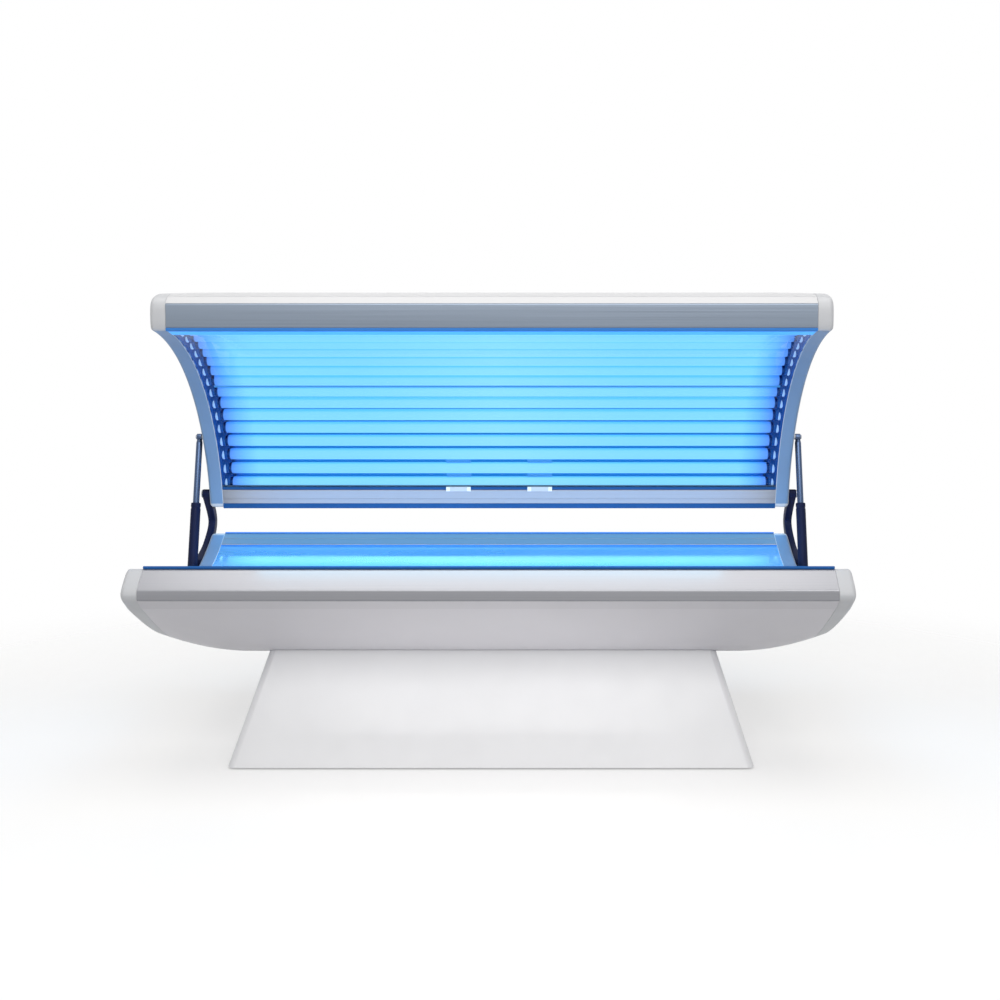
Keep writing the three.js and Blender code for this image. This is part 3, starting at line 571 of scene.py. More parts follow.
@dataclass
class Surface:
    """A closed skin: points, four-sided faces, and flat many-sided caps."""

    points: Array
    quads: NDArray[np.int64]
    caps: list[NDArray[np.int64]]

    @classmethod
    def lofted(cls, rings: Array, returns: bool = False) -> "Surface":
        """Skins a row of rings with equal counts of points, and caps the first and the last ring.

        Args:
            rings: points of shape (rings, count, 3).
            returns: the last ring joins the first again, so there are no caps.

        Returns:
            The skin, with its faces pointing outwards.
        """
        rows, count = rings.shape[:2]
        grid = np.arange(rows * count).reshape(rows, count)
        walk = np.vstack([grid, grid[:1]]) if returns else grid
        near, far = walk[:-1], walk[1:]
        quads = np.stack([near, np.roll(near, -1, 1), np.roll(far, -1, 1), far], -1).reshape(-1, 4)
        caps = [] if returns else [grid[0, ::-1], grid[-1]]
        return cls(rings.reshape(-1, 3), quads, caps).outward()

    @classmethod
    def turned(
        cls, profile: Array, sides: int, returns: bool = False, flutes: int = 0, depth: float = 0.0,
    ) -> "Surface":
        """Turns a profile of (x, radius) about the X axis.

        The radius at turn a is r (1 + depth cos(flutes a)), so flutes run along the axis.

        Args:
            profile: points of shape (count, 2).
            sides: facets round the axis.
            returns: the profile closes on itself, as a ring does.
            flutes: how many flutes go round.
            depth: the flutes' depth as a share of the radius.

        Returns:
            The turned skin.
        """
        turn = np.linspace(0, 2 * np.pi, sides, endpoint=False)
        radius = profile[:, 1, None] * (1 + depth * np.cos(flutes * turn))
        along = np.broadcast_to(profile[:, 0, None], radius.shape)
        return cls.lofted(np.stack([along, radius * np.cos(turn), radius * np.sin(turn)], -1), returns)

    def outward(self) -> "Surface":
        """Turns every face round where the skin encloses a negative volume, the sum of a . (b x c).

        Returns:
            This skin.
        """
        fans = [np.stack([np.repeat(cap[:1], len(cap) - 2), cap[1:-1], cap[2:]], -1) for cap in self.caps]
        corners = np.concatenate([self.quads[:, :3], self.quads[:, [0, 2, 3]], *fans])
        a, b, c = (self.points[corners[:, i]] for i in range(3))
        if np.einsum("ij,ij->", a, np.cross(b, c)) < 0:
            self.quads = self.quads[:, ::-1]
            self.caps = [cap[::-1] for cap in self.caps]
        return self

    def mapped(self, place: Callable[[Array], Array]) -> "Surface":
        """The same skin with its points moved by a function of whole arrays."""
        return Surface(place(self.points), self.quads, self.caps).outward()

    def moved(self, x: float, y: float, z: float) -> "Surface":
        """The same skin, shifted."""
        return self.mapped(lambda points: points + np.array([x, y, z]))

    def mesh(self, name: str) -> bpy.types.Mesh:
        """Makes the mesh, smooth but for its creases.

        Args:
            name: the mesh's name.

        Returns:
            The mesh.
        """
        made = bpy.data.meshes.new(name)
        faces = self.quads.tolist() + [cap.tolist() for cap in self.caps]
        made.from_pydata(self.points.tolist(), [], faces)
        made.shade_smooth()
        made.set_sharp_from_angle(angle=CREASE_ANGLE)
        return made


def joined(parts: Sequence[Surface]) -> Surface:
    """Gathers several closed skins in one surface.

    Args:
        parts: the skins.

    Returns:
        One surface that holds them all.
    """
    offsets = np.cumsum([0] + [len(part.points) for part in parts[:-1]])
    return Surface(
        np.concatenate([part.points for part in parts]),
        np.concatenate([part.quads + offset for part, offset in zip(parts, offsets)]),
        [cap + offset for part, offset in zip(parts, offsets) for cap in part.caps],
    )


def softened(corners: Array, radius: float | Array, steps: int = 5) -> Array:
    """Rounds every corner of closed outlines with a quadratic curve.

    Each corner c gives (1-t)^2 a + 2t(1-t) c + t^2 b, where a and b lie radius away towards its neighbours.

    Args:
        corners: points of shape (..., count, 2).
        radius: how far the rounding reaches, one for all corners or one each.
        steps: points on each rounding.

    Returns:
        Points of shape (..., count, steps, 2).
    """
    def towards(other: Array) -> Array:
        """Where the roundings start on the way to a neighbour.

        Args:
            other: each corner's neighbour.

        Returns:
            Points of shape (..., count, 1, 2).
        """
        way = other - corners
        length = np.linalg.norm(way, axis=-1)
        share = np.minimum(radius, ROUND_SHARE * length) / np.maximum(length, TINY)
        return (corners + way * share[..., None])[..., None, :]

    start, end = towards(np.roll(corners, 1, -2)), towards(np.roll(corners, -1, -2))
    t = np.linspace(0, 1, steps)[:, None]
    return (1 - t) ** 2 * start + 2 * t * (1 - t) * corners[..., None, :] + t**2 * end


def rounded_outline(corners: Sequence[Pair], radius: float, steps: int = 5) -> Array:
    """A closed outline with every corner rounded alike.

    Args:
        corners: the outline's corners.
        radius: how far each rounding reaches.
        steps: points on each rounding.

    Returns:
        Points of shape (count, 2).
    """
    return softened(np.array(corners, float), radius, steps).reshape(-1, 2)


def rounded_profile(corners: Sequence[Pair], radius: float, steps: int = 5) -> Array:
    """An open profile whose inner corners are rounded, and whose two ends stay.

    Args:
        corners: the profile's corners.
        radius: how far each rounding reaches.
        steps: points on each rounding.

    Returns:
        Points of shape (count, 2).
    """
    line = np.array(corners, float)
    return np.concatenate([line[:1], softened(line, radius, steps)[1:-1].reshape(-1, 2), line[-1:]])


def solid_profile(corners: Sequence[Pair], radius: float) -> Array:
    """A profile of (x, radius) that closes at both ends on a hub about the axis.

    Args:
        corners: the profile's corners, without the hub.
        radius: how far each rounding reaches.

    Returns:
        Points of shape (count, 2).
    """
    return rounded_profile([(corners[0][0], HUB), *corners, (corners[-1][0], HUB)], radius)


def stood(sections: Array, x: Array) -> Array:
    """Puts places along X before points of (y, z).

    Args:
        sections: points of shape (..., 2).
        x: places along X, of a shape that spreads over the points.

    Returns:
        Points of shape (..., 3).
    """
    return np.concatenate([np.broadcast_to(x, sections.shape[:-1])[..., None], sections], -1)


def carried(outline: Array, stations: Sequence[float]) -> Array:
    """Carries an outline of (y, z) along X.

    Args:
        outline: points of shape (count, 2).
        stations: places along X.

    Returns:
        Rings of shape (stations, count, 3).
    """
    sections = np.broadcast_to(outline, (len(stations), *outline.shape))
    return stood(sections, np.array(stations, float)[:, None])


def across(points: Array) -> Array:
    """Mirrors points of (y, w) to the other side of the middle."""
    return points * np.array([-1.0, 1.0])


def spun(angle: float) -> Array:
    """The matrix that turns rows of (y, z) about X by an angle."""
    return np.array([[math.cos(angle), math.sin(angle)], [-math.sin(angle), math.cos(angle)]])


def span(node: str, side: int = 1) -> tuple[float, float, float, float]:
    """Where a node lies along X, and the middle of its box.

    Args:
        node: the node's name.
        side: which way along X the far end lies.

    Returns:
        The near and the far end along X, and the middle's y and z.
    """
    low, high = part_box(node)
    near, far = (low.x, high.x)[::side]
    return near, far, (low.y + high.y) / 2, (low.z + high.z) / 2


def joint(name: str) -> dict:
    """The frame's entry for a joint."""
    return next(entry for entry in frame["joints"] if entry["name"] == name)


def place_piece(
    name: str, surface: Surface, body: str, finish: Finish, stands_for: Sequence[str] = (),
    bevel: float = 0.0,
) -> bpy.types.Object:
    """Adds a piece to the scene on the body that carries it.

    Args:
        name: the piece's name.
        surface: its skin in the row frame.
        body: the body that it rides on.
        finish: what it is made of.
        stands_for: the nodes that it replaces.
        bevel: the width of a bevel on its creases, or none.

    Returns:
        The piece's object.
    """
    made = bpy.data.objects.new(name, surface.mesh(name))
    bpy.context.scene.collection.objects.link(made)
    made.data.materials.append(finish.material())
    if bevel:
        soft = made.modifiers.new("edge", "BEVEL")
        soft.width, soft.segments, soft.limit_method = bevel, BEVEL_SEGMENTS, "ANGLE"
        soft.angle_limit = CREASE_ANGLE
    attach(made, body)
    if stands_for:
        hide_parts(*stands_for)
    LOG.info("%s: %d points on %s", name, len(surface.points), body)
    return made


@dataclass(frozen=True)
class Section:
    """The cross-section that both halves share: y across, and w up from the lip plane, which is at zero."""

    lip_half: float = 0.430
    trough_depth: float = 0.140
    bevel: float = 0.054
    nose: float = 0.028
    band_width: float = 0.040
    band_drop: float = 0.028
    flange: float = 0.065
    ledge_width: float = 0.012
    ledge_thickness: float = 0.008
    acrylic_set: float = 0.002
    acrylic_thickness: float = 0.006
    lamp_gap: float = 0.012
    lamp_radius: float = 0.019
    reflector_gap: float = 0.009
    reflector_thickness: float = 0.0015

    @property
    def lip_radius(self) -> float:
        """The radius of the arc through both lips and the trough's floor."""
        return (self.lip_half**2 + self.trough_depth**2) / (2 * self.trough_depth)

    @property
    def arc_centre(self) -> float:
        """The arc's centre above the lip plane."""
        return self.lip_radius - self.trough_depth

    @property
    def lip_angle(self) -> float:
        """The lip's angle from the middle of the arc."""
        return math.asin(self.lip_half / self.lip_radius)

    @property
    def flange_angle(self) -> float:
        """The angle at which the rail's flange ends and the acrylic begins."""
        return self.lip_angle - self.flange / self.lip_radius

    @property
    def acrylic_back(self) -> float:
        """The radius of the acrylic's back."""
        return self.lip_radius + self.acrylic_set + self.acrylic_thickness

    @property
    def lamp_arc(self) -> float:
        """The radius on which the lamps' axes lie."""
        return self.acrylic_back + self.lamp_gap + self.lamp_radius

    @property
    def reflector_face(self) -> float:
        """The radius of the reflector's bright face."""
        return self.lamp_arc + self.lamp_radius + self.reflector_gap

    @property
    def nose_y(self) -> float:
        """The nose's distance from the middle."""
        return self.lip_half + self.bevel

    @property
    def nose_base(self) -> float:
        """The nose's lower edge below the lip plane."""
        return self.bevel + self.nose

    @property
    def band_end(self) -> Array:
        """The inner end of the band under the nose."""
        return np.array([self.nose_y - self.band_width, -self.nose_base - self.band_drop])

    @property
    def web_angle(self) -> float:
        """The angle of the band's end from the middle of the arc."""
        return math.atan2(self.band_end[0], self.arc_centre - self.band_end[1])

    def polar(self, radius: float | Array, angle: float | Array) -> Array:
        """Points at a radius and an angle about the arc's centre: (r sin a, centre - r cos a)."""
        return np.stack([radius * np.sin(angle), self.arc_centre - radius * np.cos(angle)], -1)

    def bent(self, face: float, thickness: float, angle: float, steps: int = 72) -> Array:
        """The outline of a sheet bent on the arc's centre.

        Args:
            face: the radius of its hollow face.
            thickness: the sheet's thickness.
            angle: how far it reaches to each side.
            steps: points on each face.

        Returns:
            Points of shape (2 steps, 2).
        """
        sweep = np.linspace(-angle, angle, steps)
        return np.concatenate([self.polar(face, sweep), self.polar(face + thickness, sweep[::-1])])

    def rail(
        self, edge: float = 0.0035, lip_edge: float = 0.012, hidden_edge: float = 0.0008,
        groove: float = 0.0009, steps: int = 6,
    ) -> Array:
        """The rail's outline: lip, slanting face, nose, band, web, and a flange with one fine groove.

        Args:
            edge: the rounding of the nose and the flange's inner end.
            lip_edge: the rounding of the lip.
            hidden_edge: the rounding of the hidden corners.
            groove: half the width of the groove in the flange, and its depth.
            steps: points on the flange to each side of the groove.

        Returns:
            Points of shape (count, 2), on the side of positive y.
        """
        radius = self.lip_radius
        back = self.acrylic_back + FIT
        shelf = back + self.ledge_thickness
        ledge = self.flange_angle - self.ledge_width / radius
        hidden = self.polar(
            np.array([shelf, shelf, back, back, radius]),
            np.array([self.web_angle, ledge, ledge, self.flange_angle, self.flange_angle]),
        )
        lip = self.polar(radius, self.lip_angle)
        nose = np.array([[self.nose_y, -self.bevel], [self.nose_y, -self.nose_base]])
        corners = np.concatenate([nose, self.band_end[None], hidden, lip[None]])
        soft = softened(corners, np.array([edge, edge, *[hidden_edge] * 5, edge, lip_edge]))
        line = (self.flange_angle + self.lip_angle) / 2
        half = groove / radius
        notch = self.polar(
            radius + groove * np.array([0.0, 1.0, 1.0, 0.0]), line + half * np.array([-1.0, -0.5, 0.5, 1.0]),
        )
        start, end = self.flange_angle + edge / radius, self.lip_angle - lip_edge / radius
        low = self.polar(radius, np.linspace(start, line - 2 * half, steps)[1:])
        high = self.polar(radius, np.linspace(line + 2 * half, end, steps)[:-1])
        return np.concatenate([soft[:-1].reshape(-1, 2), low, notch, high, soft[-1]])


SECTION = Section()


@dataclass(frozen=True)
class Hull:
    """A half's outer skin: a curve from the rail, by a shoulder, to a floor that sweeps up at its ends."""

    depth: float
    shoulder: float
    flat: float
    end_rise: float
    end_run: float
    on_band: bool
    seam: float
    half_length: float
    skin: float = 0.004

    def lift(self, x: Array) -> Array:
        """How far the floor has swept up at x: end_rise times the square of the way along the end run."""
        run = np.maximum(0, np.abs(x) - (self.half_length - self.end_run)) / self.end_run
        return self.end_rise * run**2

    @property
    def start(self) -> Array:
        """Where the curve leaves the rail: the band's end, or the nose's lower edge."""
        return SECTION.band_end if self.on_band else np.array([SECTION.nose_y, -SECTION.nose_base])

    def parameter(self, y: float | Array) -> float | Array:
        """The curve's parameter at a distance from the middle: the root of a t^2 + 2 b t + c.

        Args:
            y: the distance from the middle.

        Returns:
            The parameter, from 0 at the rail to 1 at the flat.
        """
        a = self.start[0] - 2 * self.shoulder + self.flat
        b = self.shoulder - self.start[0]
        c = self.start[0] - y
        return c / (-b + np.sqrt(np.maximum(0, b * b - a * c)))

    def side(self, x: Array, t: Array, inset: Array | float = 0.0) -> Array:
        """Points down one side, (1-t)^2 start + 2t(1-t) shoulder + t^2 flat, moved inwards along the normal.

        Args:
            x: stations of shape (rows,).
            t: parameters of shape (count,).
            inset: how far the points move in, one for all stations or one each.

        Returns:
            Points of shape (rows, count, 2).
        """
        floor = -(self.depth - self.lift(x))
        turn = np.stack([np.full_like(x, self.shoulder), floor], -1)[:, None]
        end = np.stack([np.full_like(x, self.flat), floor], -1)[:, None]
        t = t[None, :, None]
        points = (1 - t) ** 2 * self.start + 2 * t * (1 - t) * turn + t**2 * end
        along = (1 - t) * (turn - self.start) + t * (end - turn)
        along = along / np.linalg.norm(along, axis=-1, keepdims=True)
        normal = np.stack([along[..., 1], -along[..., 0]], -1)
        return points + normal * np.broadcast_to(inset, x.shape)[:, None, None]

    def height(self, x: Array, y: Array) -> Array:
        """The floor's height over the lip plane: the curve's w at the parameter of y.

        Args:
            x: places along the bed.
            y: distances from the middle.

        Returns:
            The heights.
        """
        t = np.clip(self.parameter(np.maximum(np.abs(y), self.flat)), 0, 1)
        floor = -(self.depth - self.lift(x))
        return (1 - t) ** 2 * self.start[1] + (2 * t * (1 - t) + t**2) * floor

    def strip(self, x: Array, steps: int = 30) -> Array:
        """The skin's closed section at each station: its outer curve, and its inner curve back again.

        Args:
            x: stations of shape (rows,).
            steps: points on each side of each curve.

        Returns:
            Points of shape (rows, 4 steps, 2).
        """
        first = self.parameter(self.start[0] - self.seam)
        t = np.linspace(first, 1, steps)
        outer, inner = self.side(x, t), self.side(x, t, self.skin)
        return np.concatenate([outer, across(outer)[:, ::-1], across(inner), inner[:, ::-1]], 1)

    def panel(self, x: Array, inset: Array, lip_inset: Array, corner: float, steps: int = 30) -> Array:
        """An end panel's outline at each station: the lip arc, then down one side and up the other.

        The lip ends where its arc meets the bevel: at a quarter of pi plus asin(reach / radius).

        Args:
            x: stations of shape (rows,).
            inset: how far the bevel, nose and hull move in at each station.
            lip_inset: how far the lip arc moves in at each station.
            corner: the rounding of the section's corners.
            steps: points on the lip arc and on each side of the hull.

        Returns:
            Points of shape (rows, count, 2).
        """
        s = SECTION
        radius = s.lip_radius + lip_inset
        reach = (s.lip_half - s.arc_centre) / DIAGONAL - inset
        angle = math.pi / 4 + np.arcsin(reach / radius)
        arc = s.polar(radius[:, None], angle[:, None] * np.linspace(-1, 1, 2 * steps))
        hull = self.side(x, np.linspace(0, 1, steps), inset)
        first = hull[:, 1] - hull[:, 0]
        if self.on_band:
            first = np.broadcast_to(np.array([-s.band_width, -s.band_drop]), first.shape)
        first = first / np.linalg.norm(first, axis=-1, keepdims=True)
        nose_turn = (1 + first[:, 1]) / -first[:, 0]
        nose_y = s.nose_y - inset
        top = np.stack([nose_y, -s.bevel - inset * (DIAGONAL - 1)], -1)
        base = np.stack([nose_y, -s.nose_base + inset * nose_turn], -1)
        corners = np.stack([arc[:, -2], arc[:, -1], top, base, hull[:, 2]], 1)
        soft = softened(corners, corner)[:, 1:4].reshape(len(x), -1, 2)
        hull_from = 1 if self.on_band else 2
        side = np.concatenate([soft, hull[:, hull_from:]], 1)
        return np.concatenate([arc[:, 1:-1], side, across(side)[:, ::-1]], 1)


@dataclass(frozen=True)
class Seat:
    """Where a half lies: the bench hangs below its lip plane; the canopy is turned over and swung open."""

    half: Half
    pivot_along: float = 0.405
    pivot_rise: float = 0.042

    @property
    def shift(self) -> float:
        """How far the section's middle lies from the row frame's middle, along Y."""
        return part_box("bench_front_rail")[0].y + SECTION.nose_y

    @property
    def lip_height(self) -> float:
        """The bench's lip plane above the floor."""
        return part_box("bench_front_rail")[1].z

    def place(self, points: Array) -> Array:
        """Moves points from the half's own frame into the row frame.

        The canopy's y and w change sign, count from the pivot, and turn about it by the open angle.

        Args:
            points: points of (x, y, w).

        Returns:
            Points of (x, y, z).
        """
        x, y, w = np.moveaxis(points, -1, 0)
        if self.half is Half.BENCH:
            return np.stack([x, y + self.shift, w + self.lip_height], -1)
        hinge = joint("canopy_hinge")
        opened = math.radians(hinge["range_deg"][1])
        y, w = -y - self.pivot_along, -w - self.pivot_rise
        _, pivot_y, pivot_z = hinge["pos_m"]
        swung_y = y * math.cos(opened) + w * math.sin(opened)
        swung_z = w * math.cos(opened) - y * math.sin(opened)
        return np.stack([x, swung_y + pivot_y, swung_z + pivot_z], -1)


@dataclass
class HalfShell:
    """One half of the clamshell without its lamps: skin, rails, end panels, acrylic, reflector and seals."""

    half: Half
    hull: Hull
    inner_x: float
    half_length: float
    skin_name: str
    stud_place: Pair
    panel_edge: float = 0.014
    panel_lip_edge: float = 0.012
    panel_wall: float = 0.006
    panel_corner: float = 0.030
    seam_edge: float = 0.0016
    lip_seam: float = 0.0004
    trim_proud: float = 0.0005
    trim_inset: float = 0.0015
    seal_height: float = 0.0034
    seal_half: float = 0.0034
    # The strips over the lips carry painted lamp light and shade on the rails' edges.
    painted_gasket_runs: Pair = (0.005, 0.0035)
    painted_gasket_proud: float = 0.004
    painted_gasket_sunk: float = 0.003
    painted_gasket_fold: float = 0.003
    painted_gasket_edge: float = 0.0002
    painted_glow_edge_thickness: float = 0.0008
    stud_out: float = 0.018
    stud_grip: float = 0.0085
    stud_head: float = 0.0035
    stud_radii: tuple[float, float, float, float] = (0.009, 0.005, 0.008, 0.0075)
    stud_edge: float = 0.0008
    skin_rows: int = 64
    lip_steps: int = 72
    bead_steps: int = 16
    edge_steps: int = 9
    stud_sides: int = 28

    def __post_init__(self) -> None:
        """Works out where the half lies, and the two places along X between which its pieces run."""
        self.seat = Seat(self.half)
        self.ends = [-self.inner_x + FIT, self.inner_x - FIT]

    def build(self) -> None:
        """Makes the pieces of this half from the outside in, but for its studs, which follow later."""
        self.skin()
        self.rails()
        for name, side in SIDES.items():
            self.end_panel(name, side)
            self.lip_trim(name, side)
        self.sheets()
        self.seals()
        self.trims()

    def add(self, name: str, surface: Surface, finish: Finish, node: str = "") -> None:
        """Places a piece, made in this half's frame, on this half's body.

        Args:
            name: the piece's name, without the half's.
            surface: its skin.
            finish: what it is made of.
            node: the node that it replaces, without the half's name, or none.
        """
        body = self.half.value
        stands_for = [f"{body}_{node}"] if node else []
        place_piece(f"{body}_{name}", surface.mapped(self.seat.place), body, finish, stands_for)

    def strip(self, name: str, outlines: Sequence[Array], finish: Finish, node: str = "") -> None:
        """Carries outlines from end panel to end panel, as one piece."""
        self.add(name, joined([Surface.lofted(carried(line, self.ends)) for line in outlines]), finish, node)

    def skin(self) -> None:
        """The outer skin: the hull's closed strip on a grid of stations along the bed."""
        x = np.linspace(*self.ends, self.skin_rows)
        rings = stood(self.hull.strip(x), x[:, None])
        # The bench's belly takes the darker laminate, as painted shade.
        finish = SHELL_PANEL if self.half is Half.CANOPY else BELLY_PANEL_PAINTED_SHADE
        self.add(f"{self.skin_name}_skin", Surface.lofted(rings), finish, self.skin_name)

    def rails(self) -> None:
        """The two rails: one outline carried along the bed, mirrored for the other side."""
        outline = SECTION.rail()
        turned_over = self.half is Half.CANOPY
        for name in ("front", "rear"):
            mirrored = (name == "front") != turned_over
            shape = across(outline) if mirrored else outline
            # The canopy's front rail takes the bluer copy, as painted lamp light.
            finish = RAIL_PAINTED_BLUE_GLOW if turned_over and name == "front" else RAIL_METAL
            self.strip(f"{name}_rail_extrusion", [shape], finish, f"{name}_rail")

    def panel_stations(self, wall: float, steps: int = 12) -> tuple[Array, Array, Array]:
        """Stations over the panel's quarter-round edge, moved in by wall.

        At turn a the station is at length - edge + (edge - wall) sin a, and its inset is
        edge - (edge - wall) cos a. The lip has a smaller round about the same plane.

        Args:
            wall: how far inside the outer face the surface lies.
            steps: stations over the round.

        Returns:
            Places along X, insets of the outline and insets of the lip.
        """
        turn = np.linspace(0, math.pi / 2, steps)
        edge, lip_edge = self.panel_edge, self.panel_lip_edge
        x = self.half_length - edge + (edge - wall) * np.sin(turn)
        inset = edge - (edge - wall) * np.cos(turn)
        into_lip = np.maximum(0, x - (self.half_length - lip_edge))
        lip_inset = lip_edge - np.sqrt(np.maximum(0, (lip_edge - wall) ** 2 - into_lip**2))
        return x, inset, lip_inset

    def end_panel(self, name: str, side: int) -> None:
        """A moulded cover: from its hollow's floor, round the rim with a small seam edge, to its face.

        Args:
            name: the side's name.
            side: which way it faces along X.
        """
        wall, seam = self.panel_wall, self.seam_edge
        inner = [values[::-1] for values in self.panel_stations(wall)]
        outer = self.panel_stations(0.0)
        rim = (
            np.array([self.inner_x, self.inner_x, self.inner_x + seam]),
            np.array([wall, seam, 0.0]),
            np.array([wall, self.lip_seam, 0.0]),
        )
        x, inset, lip_inset = (np.concatenate(parts) for parts in zip(inner, rim, outer))
        outline = self.hull.panel(x, inset, lip_inset, self.panel_corner)
        cover = Surface.lofted(stood(outline, side * x[:, None]))
        self.add(f"end_panel_{name}_cover", cover, END_PLASTIC, f"end_panel_{name}")

    def lip_trim(self, name: str, side: int) -> None:
        """A grey trim on the panel's lip, tinted blue as painted lamp light: the lip's profile of (x,
        radius), carried round the arc.

        Args:
            name: the side's name.
            side: which way the panel faces along X.
        """
        s = SECTION
        x, _, lip_inset = self.panel_stations(0.0)
        keep = x < self.half_length - self.panel_wall / 2
        x = np.concatenate([[self.inner_x + self.seam_edge], x[keep]])
        radius = s.lip_radius + np.concatenate([[0.0], lip_inset[keep]])
        profile_x = np.concatenate([x, x[::-1]]) * side
        profile_r = np.concatenate([radius - self.trim_proud, (radius + self.trim_proud)[::-1]])
        angle = np.linspace(-1, 1, self.lip_steps) * (s.lip_angle - self.panel_corner / 2 / s.lip_radius)
        rings = stood(s.polar(profile_r[None, :], angle[:, None]), profile_x)
        self.add(f"end_panel_{name}_lip", Surface.lofted(rings), LIP_TRIM_PAINTED_BLUE_LIGHT)

    def face_trim(self, start: Array, stop: Array) -> Array:
        """The outline of a thin strip on a flat face of the rail, which stands off along its normal.

        Args:
            start: the face's outer edge.
            stop: the face's inner edge.

        Returns:
            The strip's four corners.
        """
        along = (stop - start) / np.linalg.norm(stop - start)
        out = np.array([-along[1], along[0]])
        start, stop = start + self.trim_inset * along + FIT * out, stop + FIT * out
        return np.stack([start, start + self.trim_proud * out, stop + self.trim_proud * out, stop])

    def trims(self) -> None:
        """A pale strip on the band of the bench's rails, darker as painted shade, or on the nose of the
        canopy's front rail.
        """
        edge, base = np.array([[SECTION.nose_y, -SECTION.bevel], [SECTION.nose_y, -SECTION.nose_base]])
        if self.half is Half.CANOPY:
            self.strip("nose_trim", [self.face_trim(edge, base)], SHELL_PANEL)
        else:
            band = self.face_trim(base, SECTION.band_end)
            self.strip("band_trims", [band, across(band)], BAND_PANEL_PAINTED_SHADE)

    def painted_gasket(self, proud: float) -> Array:
        """The outline of the strip over a rail's lip, which carries painted lamp light and shade: a fold
        proud of the flange and the slanting face.

        Args:
            proud: how far it stands off both faces.

        Returns:
            Points of shape (count, 2), on the side of positive y.
        """
        angle, sunk, hidden = SECTION.lip_angle, -self.painted_gasket_sunk, self.painted_gasket_edge
        flange = np.array([-math.cos(angle), -math.sin(angle)])
        up = np.array([-math.sin(angle), math.cos(angle)])
        slant, out = np.array([1.0, -1.0]) / DIAGONAL, np.array([1.0, 1.0]) / DIAGONAL
        fold = (up + out) / (1 + up @ out)
        inner, outer = self.painted_gasket_runs[0] * flange, self.painted_gasket_runs[1] * slant
        corners = np.stack([
            inner + sunk * up, inner + proud * up, proud * fold,
            outer + proud * out, outer + sunk * out, 2 * sunk * fold,
        ])
        radii = np.array([hidden, proud / 2, self.painted_gasket_fold, proud / 2, hidden, hidden])
        return softened(corners, radii).reshape(-1, 2) + np.array([SECTION.lip_half, 0.0])

    def seals(self) -> None:
        """A bead along each edge of the acrylic and a strip over each lip: dark blue as painted shade, and
        paler with a painted glow where the lamps reach it.

        The bead's section is an ellipse on the arc: its height goes with sin a, its reach with cos a - 1.
        """
        s = SECTION
        turn = np.linspace(0, 2 * math.pi, self.bead_steps, endpoint=False)
        radius = s.lip_radius + s.acrylic_set - self.seal_height * np.sin(turn)
        bead = s.polar(radius, s.flange_angle + self.seal_half / s.lip_radius * (np.cos(turn) - 1))
        fold, low_fold = self.painted_gasket(self.painted_gasket_proud), self.painted_gasket(self.painted_gasket_proud / 3)
        if self.half is Half.CANOPY:
            self.strip("front_seal", [fold], PAINTED_GLOW_SEAL)
            self.strip("rear_seals", [across(bead), across(fold)], SEAL_PAINTED_SHADE)
            self.painted_glow_edge()
        else:
            self.strip("front_seals", [across(bead), across(fold)], SOFT_SEAL_PAINTED_GLOW)
            self.strip("rear_seals", [bead, low_fold], PAINTED_GLOW_SEAL)

    def painted_glow_edge(self) -> None:
        """The acrylic's front edge, turned over the flange, with a painted glow."""
        s = SECTION
        under = s.lip_radius - FIT
        high = s.lip_angle - (self.painted_gasket_runs[0] - FIT) / s.lip_radius
        turn = np.linspace(s.flange_angle, high, self.edge_steps)
        faces = s.polar(under, turn[::-1]), s.polar(under - self.painted_glow_edge_thickness, turn)
        self.strip("front_edge", [np.concatenate(faces)], PAINTED_GLOW_EDGE)

    def sheets(self) -> None:
        """The clear acrylic and the reflector behind the lamps, each bent on the arc."""
        s = SECTION
        face = s.lip_radius + s.acrylic_set
        clear = s.bent(face, s.acrylic_thickness, s.flange_angle - FIT / s.lip_radius)
        bright = s.bent(s.reflector_face, s.reflector_thickness, s.web_angle - FIT / s.reflector_face)
        # The bench's acrylic has a painted glow of its own.
        glass = CLEAR_SHEET if self.half is Half.CANOPY else SOFT_SHEET_PAINTED_GLOW
        self.strip("acrylic_sheet", [clear], glass, "acrylic")
        # The reflector's blue tint is a painted reflection of the lamps.
        self.strip("reflector_sheet", [bright], MIRROR_SHEET_PAINTED_REFLECTION, "reflector")

    def stud(self, name: str, side: int) -> None:
        """The stud that a strut's eye turns on: a shoulder, a pin and a domed head, turned about X.

        Args:
            name: the side's name.
            side: which way it points along X.
        """
        eye = self.half_length + self.stud_out
        base, pin, end = self.half_length - FIT, eye - self.stud_grip, eye + self.stud_grip
        shoulder, shank, head, dome = self.stud_radii
        profile = solid_profile([
            (base, shoulder), (pin, shoulder), (pin, shank), (end, shank), (end, head),
            (end + self.stud_head, dome),
        ], self.stud_edge)
        shaft = Surface.turned(profile * np.array([side, 1.0]), self.stud_sides).moved(0, *self.stud_place)
        self.add(f"strut_stud_{name}", shaft, ZINC)


